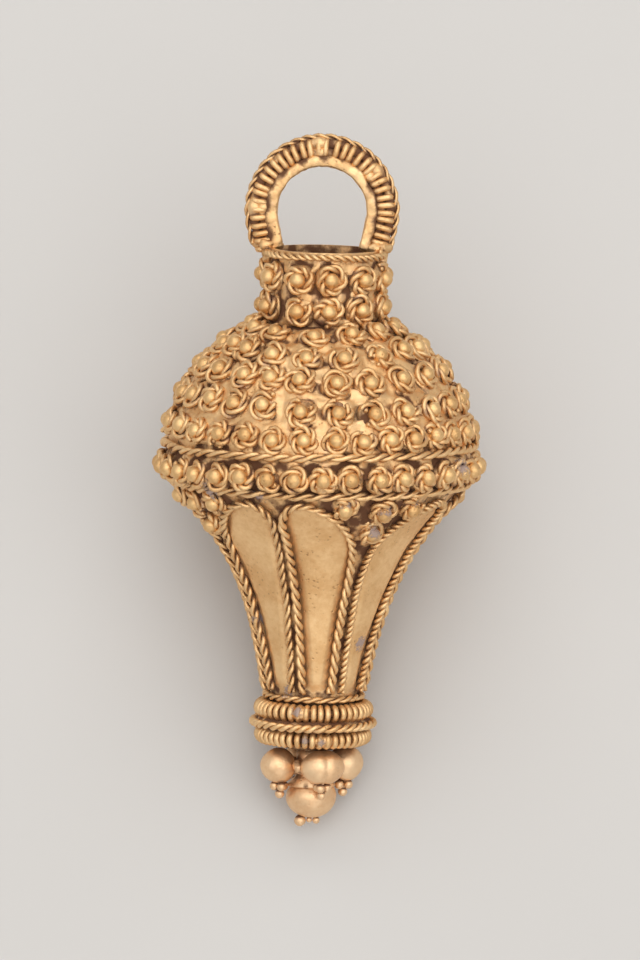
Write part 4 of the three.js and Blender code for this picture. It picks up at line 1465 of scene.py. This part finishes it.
@dataclass
class Finial:
    """Four balls in a ring, a larger one below, and little pyramids of granules."""

    body: SheetBody
    ball: float = 1.32
    front_width: float = 1.62
    ring: float = 2.64
    first_azimuth: float = 18.0
    bottom_width: float = 1.87
    bottom_height: float = 1.55
    bottom_drop: float = 2.4
    swell: float = 1.03
    lifts: tuple[float, ...] = (0.18, 0.1, 0.1, 0.03)
    grain: float = 0.36
    inset: float = 0.15
    tips: tuple[tuple[float, float], ...] = ((0.45, -0.79), (0.22, -0.1), (0.28, 0.42))
    crease_depth: float = 0.09
    crease_width: float = 0.24

    @property
    def ball_z(self) -> float:
        """The height of the four balls' middles."""
        return self.body.foot - self.body.gap - self.ball

    @property
    def bottom_z(self) -> float:
        """The height of the lowest ball's middle."""
        return self.ball_z - self.bottom_drop

    def globe(self, number: int, middle: Array) -> Shape:
        """One of the four balls, the front one wide and creased.

        Args:
            number: Which ball, with the front one first, at 0.
            middle: Its middle.

        Returns:
            The ball, darker on its inner side and on top: earth and painted shade.
        """
        azimuth = self.first_azimuth + 90 * number
        radius = self.ball * self.swell
        shape = granule(middle, -around(azimuth, 1.0, 0.0), radius, 900 + number, rows=27)
        if number == 0:
            side = around(azimuth + 90, 1.0, 0.0)
            offset = (shape.points - middle) @ side
            widening = offset * (self.front_width / self.ball - 1)
            shape.points = shape.points + widening[:, None] * side
            crease = self.crease_depth * np.exp(-((offset / self.crease_width) ** 2))
            shape.points = shape.points - crease[:, None] * (shape.points - middle)
        # Painted shade with earth: darker towards the post and on top, under the coils.
        away = np.linalg.norm(shape.points[:, :2], axis=1)
        top = (shape.points[:, 2] - self.ball_z) / self.ball
        shape.earth_and_shade = np.clip((2.1 - away) * 1.2, 0, 1) + np.clip(top - 0.6, 0, 0.4)
        uneven = 1 + 0.012 * ripple(shape.points, 1.4, 94)
        shape.points = middle + (shape.points - middle) * uneven[:, None]
        return shape

    def lowest_globe(self) -> Shape:
        """The flattened ball at the bottom, darker on top where it meets the calyx: earth and painted
        shade.
        """
        flat = self.bottom_height / self.bottom_width
        wide = self.bottom_width * self.swell
        shape = granule(-self.bottom_z * DOWN, DOWN, wide, 960, squash=flat, rows=29)
        # Painted shade with earth: darker towards its top.
        rise = (shape.points[:, 2] - self.bottom_z) / self.bottom_height
        shape.earth_and_shade = np.clip(1.6 * rise - 0.5, 0, 1)
        return shape

    def pyramid(self, azimuth: float, z: float, seed: int) -> Shape:
        """Three granules and one below them.

        Args:
            azimuth: Where the pyramid hangs.
            z: The height of its upper granules.
            seed: Its own unevenness.

        Returns:
            The pyramid.
        """
        middle = around(azimuth, self.ring - self.inset, z)
        spread = 2 * self.grain / np.sqrt(3)
        places = [spread * around(azimuth + 120 * k + 90, 1.0, 0.0) for k in range(3)]
        places.append(self.grain * np.sqrt(8 / 3) * DOWN)
        grains = [granule(middle + p, DOWN, self.grain, seed + i, rows=9) for i, p in enumerate(places)]
        # A darkened core granule in the middle of the pyramid: earth and painted shade between the
        # granules.
        core = granule(middle + 0.1 * DOWN, DOWN, self.grain * 0.8, seed + 7, rows=7)
        core.earth_and_shade = np.clip(core.earth_and_shade + 0.7, 0, 1)
        return Shape.join([*grains, core])

    def calyx(self) -> Shape:
        """The post between the balls, with a thin collar of sheet flaring onto the lowest ball."""
        azimuth = np.linspace(0, 360, 72, endpoint=False)[None]
        top = self.body.foot - self.body.gap
        low = self.bottom_z + self.bottom_height
        profile = np.array(
            [
                [0.3, top],
                [1.2, top],
                [1.16, top - 0.8],
                [1.05, top - 1.5],
                [1.2, low + 0.3],
                [1.34, low - 0.05],
                [1.78, low - 0.62],
                [1.7, low - 0.72],
                [1.2, low - 0.2],
                [0.3, low + 0.08],
            ]
        )
        plain = around(azimuth, profile[:, :1], profile[:, 1:])
        wave = 1 + 0.05 * ripple(plain, 1.6, 91)
        points = around(azimuth, profile[:, :1] * wave, profile[:, 1:])
        earth_and_shade = mottled(0.25, 0.3, plain, 1.2, 92)
        bridges = []
        for k in range(4):
            middle = around(self.first_azimuth + 45 + 90 * k, self.ring * 0.74, self.body.foot - 1.3)
            bridges.append(lump(middle, (0.6, 0.6, 0.5), k))
        return Shape.join([lattice(points, earth_and_shade, False, poles=True), *bridges])

    def make(self, shop: Workshop) -> None:
        """Makes the finial.

        Args:
            shop: Where the pieces are finished.
        """
        drop = float(np.sqrt((self.ball + self.grain + self.body.gap) ** 2 - 4 / 3 * self.grain**2))
        for i in range(4):
            azimuth, height = self.first_azimuth + 90 * i, self.ball_z + self.lifts[i]
            globe = self.globe(i, around(azimuth, self.ring, height))
            shop.piece(f"finial_globe_{i + 1}", globe, Gold.BALL, f"finial_ball_{i + 1}")
            pyramid = self.pyramid(azimuth, height - drop + 0.1, 920 + 10 * i)
            shop.piece(f"grain_pile_{i + 1}", pyramid, Gold.BALL, f"grain_pyramid_{i + 1}")
        shop.piece("finial_globe_bottom", self.lowest_globe(), Gold.BALL, "finial_ball_bottom")
        shop.piece("finial_calyx", self.calyx(), Gold.BALL, "finial_post")
        for i, (radius, x) in enumerate(self.tips):
            under = self.bottom_z - self.bottom_height * np.sqrt(1 - (x / self.bottom_width) ** 2)
            tip = granule(np.array([x, 0.0, under - radius * 0.93]), DOWN, radius, 970 + i, rows=9)
            shop.piece(f"tip_granule_{i + 1}", tip, Gold.BALL, f"tip_grain_{i + 1}")


@dataclass
class SuspensionLoop:
    """The horseshoe loop: a hammered band, a coil over it and a twisted wire outside.

    The real loop stands a little to the left of the neck's middle, by the size lean_in.
    """

    body: SheetBody
    eye: float = 3.3
    eye_rise: float = 2.85
    band_thickness: float = 0.72
    band_depth: float = 1.3
    coil: float = 0.65
    coil_reach: float = 0.76
    coil_depth: float = 0.6
    wire: float = 0.232
    windings: int = 35
    missing: float = 0.035
    lean_in: float = -0.28
    wrap: float = 12.0
    leg: float = 3.2
    rope_radius: float = 0.27
    coil_rest: float = 0.89
    rope_sunk: float = 0.05
    clogs: tuple[float, ...] = (-0.62, -0.02, 0.37)
    rope: TwistedWire = TwistedWire(strand=0.13, pitch=1.9, hand=Hand.RIGHT)

    @property
    def middle(self) -> float:
        """The middle of the coil, from the eye's centre."""
        return self.eye + self.band_thickness + self.body.gap + self.coil

    def along(self, share: Array, distance: Array | float) -> tuple[Array, Array]:
        """Points of the loop.

        Args:
            share: How far along it, from -1 at the left foot to 1 at the right one.
            distance: From the eye's centre, where the loop is round.

        Returns:
            The points and the directions outwards.
        """
        bend = np.pi / 2 + np.radians(self.wrap)
        run = share * (self.middle * bend + self.leg)
        angle = np.clip(run / self.middle, -bend, bend)
        past = run - angle * self.middle
        x = distance * np.sin(angle) + past * np.cos(angle) + self.lean_in
        z = self.body.mouth + self.eye_rise + distance * np.cos(angle) - past * np.sin(angle)
        out = np.stack([np.sin(angle), 0 * angle, np.cos(angle)], axis=-1)
        return np.stack([x, 0 * x, z], axis=-1), out

    def standing(self, distance: float, count: int) -> Array:
        """Shares along the loop whose points stand over the mouth."""
        share = np.linspace(-1, 1, count * 8)
        points, _ = self.along(share, distance)
        above = share[points[:, 2] > self.body.mouth + self.body.gap]
        return np.linspace(above[0], above[-1], count)

    def band(self) -> Shape:
        """The smooth band, rounded and dented by the hammer."""
        share = self.standing(self.eye + self.band_thickness / 2, 150)
        corners = np.linspace(0, FULL_TURN, 24, endpoint=False)[None]
        power = 0.45
        radial = np.sign(np.cos(corners)) * np.abs(np.cos(corners)) ** power * self.band_thickness / 2
        deep = np.sign(np.sin(corners)) * np.abs(np.sin(corners)) ** power * self.band_depth / 2
        centre, out = self.along(share, self.eye + self.band_thickness / 2)
        section = radial[..., None] * out[:, None] + deep[..., None] * BACKWARDS
        points = centre[:, None] + section
        dent = 0.04 * ripple(points, 1.5, 81) + 0.04 * ripple(points, 0.7, 82) - 0.04
        points = points + dent[..., None] * unit(points - centre[:, None])
        wavy = 0.15 + 0.08 * ripple(centre, 1.3, 80) + 0.2 * np.clip(-share - 0.3, 0, 0.4) / 0.4
        outward = np.maximum(np.cos(corners), 0) ** 0.5
        points = points + (wavy[:, None] * outward)[..., None] * out[:, None]
        # Painted shade with earth: darker on the band's outer face, under the coil.
        earth_and_shade = mottled(0.2 + 0.55 * radial / self.band_thickness * 2, 0.25, points, 1.2, 83)
        return lattice(points, earth_and_shade, False, poles=True)

    def winding(self) -> Shape:
        """The coil of wire over the band."""
        share = self.standing(self.middle, self.windings * 20)
        part = np.linspace(0, self.windings, len(share))
        whole = np.round(part)
        stepped = whole + 0.5 * np.sign(part - whole) * np.abs(2 * (part - whole)) ** 2.2
        share = np.interp(np.clip(stepped, 0, self.windings), part, share)
        ring = np.column_stack([share, 0 * share, 0 * share])
        share = share + 0.005 * ripple(ring, 0.1, 84) + 0.008 * np.tanh((share - self.missing) / 0.006)
        middle, out = self.along(np.clip(share, -1, 1), self.middle)
        front, rise = -np.cos(2 * np.pi * part), np.sin(2 * np.pi * part)
        upward = (self.coil_reach - self.wire) * np.sign(rise) * np.abs(rise) ** 0.72
        forward = (self.coil_depth - self.wire) * np.sign(front) * np.abs(front) ** 0.6
        arm = upward[:, None] * out + forward[:, None] * BACKWARDS
        wound = tube(middle + arm, unit(arm), self.wire, 8, False)
        count = len(part) * 8
        # Painted shade with earth: darker where each winding lies against the band and under the outer
        # wire, cleaner at the front and back.
        wound.earth_and_shade[:count] = np.clip(0.1 - 0.5 * np.repeat(np.abs(front) - 0.6, 8), 0, 1)
        return wound

    def core(self) -> Shape:
        """The earth and solder inside the coil, which clogs it at the crown and on the right; it is dark
        with earth and painted shade where it does not clog.
        """
        share = self.standing(self.middle, 260)
        middle, out = self.along(share, self.middle)
        clogged = sum(np.exp(-(((share - place) / 0.04) ** 2)) for place in self.clogs)
        swell = 0.34 * (1 + 0.1 * ripple(middle, 1.6, 86)) + 0.22 * clogged
        halves = []
        for side in (-0.31, 0.36):
            half = tube(middle + side * out, out, swell, 10, False)
            # Painted shade with earth: the core seen between the windings is nearly black.
            half.earth_and_shade = mottled(0.85, 0.2, half.points, 1.1, 87)
            half.earth_and_shade[: len(share) * 10] -= 0.7 * np.repeat(clogged, 10)
            halves.append(half)
        return Shape.join(halves)

    def feet(self) -> list[Shape]:
        """The lumps of solder that hold the feet on the mouth, and run down the neck."""
        rim = self.body.mouth
        return [
            lump(np.array([-4.2, 0.0, rim + 0.28]), (1.12, 0.82, 0.46), 15),
            lump(np.array([3.95, 0.0, rim + 0.12]), (1.15, 0.82, 0.52), 16),
            lump(np.array([-4.2, -0.25, rim - 0.45]), (0.5, 0.9, 0.75), 7),
            lump(np.array([4.2, -0.25, rim - 0.5]), (0.48, 0.9, 0.8), 8),
        ]

    def outer_wire(self) -> Shape:
        """The twisted wire round the coil."""
        outside = self.middle + self.coil_rest * self.coil + self.body.gap + 2 * self.rope_radius
        distance = outside - self.rope.reach - self.rope_sunk
        share = self.standing(distance, 240) * 0.985
        path, out = self.along(share, distance)
        return self.rope.laid(path, out, False, seed=88)

    def make(self, shop: Workshop) -> None:
        """Makes the loop.

        Args:
            shop: Where the pieces are finished.
        """
        shop.piece("loop_band_hammered", self.band(), Gold.WIRE, "loop_band")
        wound = Shape.join([self.winding(), self.core(), *self.feet()])
        shop.piece("loop_coil_wound", wound, Gold.WIRE, "loop_coil")
        shop.piece("loop_wire", self.outer_wire(), Gold.WIRE, "loop_rope")


@dataclass(frozen=True)
class Softbox:
    """A soft light. Its place is right, up and towards the camera from the pendant, in metres."""

    name: str
    place: tuple[float, float, float]
    size: tuple[float, float]
    power: float

    def set_up(self, target: Vector, basis: Matrix) -> None:
        """Sets up the light.

        Args:
            target: The point that it shines on.
            basis: The camera's directions.
        """
        data = bpy.data.lights.new(self.name, "AREA")
        data.shape = "RECTANGLE"
        data.size, data.size_y = self.size
        data.energy = self.power
        made = bpy.data.objects.new(self.name, data)
        spot = target + basis @ Vector(self.place)
        aim = (target - spot).to_track_quat("-Z", "Y")
        made.matrix_world = Matrix.Translation(spot) @ aim.to_matrix().to_4x4()
        bpy.context.scene.collection.objects.link(made)


@dataclass
class Studio:
    """The camera at the photograph's angle, soft lights and a pale floor."""

    lie: Lie
    distance: float = 0.7
    lens: float = 350.0
    elevation: float = 6.0
    roll: float = 1.45
    aim: tuple[float, float, float] = (0.07, 0.0, -1.2)
    room_tone: tuple[float, float, float, float] = (0.8, 0.79, 0.78, 1.0)
    room_strength: float = 0.72
    floor_half: float = 1.5
    softboxes: tuple[Softbox, ...] = (
        Softbox("softbox_left", (-0.17, 0.05, 0.43), (0.36, 0.55), 0.57),
        Softbox("softbox_right", (0.17, 0.05, 0.43), (0.36, 0.55), 0.82),
        Softbox("softbox_top", (0.0, 0.42, 0.3), (0.5, 0.2), 0.6),
        Softbox("softbox_low", (0.04, -0.36, 0.28), (0.26, 0.26), 0.17),
    )
    target: Vector = field(init=False)
    basis: Matrix = field(init=False)

    def __post_init__(self) -> None:
        """Finds the camera's directions on the table."""
        self.target = Vector(self.lie.to_table(np.array([self.aim]))[0])
        height = np.radians(self.elevation)
        back = Vector(self.lie.turn(np.array([[0.0, -np.cos(height), np.sin(height)]]))[0])
        axis = Vector(self.lie.turn(np.array([[0.0, 0.0, 1.0]]))[0])
        up = (axis - back * axis.dot(back)).normalized()
        up.rotate(Matrix.Rotation(np.radians(self.roll), 3, back))
        right = up.cross(back)
        self.basis = Matrix((right, up, back)).transposed()

    def camera(self) -> None:
        """Sets the camera."""
        data = bpy.data.cameras.new("camera")
        data.lens = self.lens
        data.clip_start = 0.01
        made = bpy.data.objects.new("camera", data)
        spot = self.target + self.basis.col[2] * self.distance
        made.matrix_world = Matrix.Translation(spot) @ self.basis.to_4x4()
        bpy.context.scene.collection.objects.link(made)
        bpy.context.scene.camera = made
        log.info("camera %.0f mm away", self.distance / MILLIMETRE)

    def lights(self) -> None:
        """Sets up the softboxes and a dim room."""
        for box in self.softboxes:
            box.set_up(self.target, self.basis)
        world = bpy.data.worlds.new("room")
        world.use_nodes = True
        world.node_tree.nodes["Background"].inputs["Color"].default_value = self.room_tone
        world.node_tree.nodes["Background"].inputs["Strength"].default_value = self.room_strength
        bpy.context.scene.world = world
        bpy.context.scene.view_settings.view_transform = "Standard"

    def floor(self) -> None:
        """A plain pale floor."""
        half = self.floor_half
        mesh = bpy.data.meshes.new("floor")
        corners = [(-half, -half, 0.0), (half, -half, 0.0), (half, half, 0.0), (-half, half, 0.0)]
        mesh.from_pydata(corners, [], [(0, 1, 2, 3)])
        bench = Bench("pale_floor")
        tone = bench.blend(bench.noise(9.0, 3.0), (206, 203, 199), (196, 193, 189))
        rough = 0.62 + (bench.noise(60.0) - 0.5) * 0.1
        surface = bench.node("ShaderNodeBsdfPrincipled", {}, {"Base Color": tone, "Roughness": rough})
        bench.node("ShaderNodeOutputMaterial", {}, {"Surface": surface})
        mesh.materials.append(bench.material)
        made = bpy.data.objects.new("floor", mesh)
        bpy.context.scene.collection.objects.link(made)


def main() -> None:
    """Builds the studio and the pendant."""
    logging.basicConfig(level=logging.INFO, format="%(name)s: %(message)s")
    body = SheetBody()
    collars = Collars(body)
    lie = Lie.of_nodes(("neck_tube", body.neck_middle), ("collar_coil_upper", collars.upper_z))
    studio = Studio(lie)
    studio.camera()
    studio.lights()
    studio.floor()
    shop = Workshop(lie)
    shoulder = Shoulder(body)
    belt = Belt(body)
    tongues = Tongues(body)
    body.make(shop, shoulder.seats() + belt.seats() + tongues.seats())
    shoulder.make(shop)
    belt.make(shop)
    tongues.make(shop)
    collars.make(shop)
    Finial(body).make(shop)
    SuspensionLoop(body).make(shop)


if __name__ == "__main__":
    main()
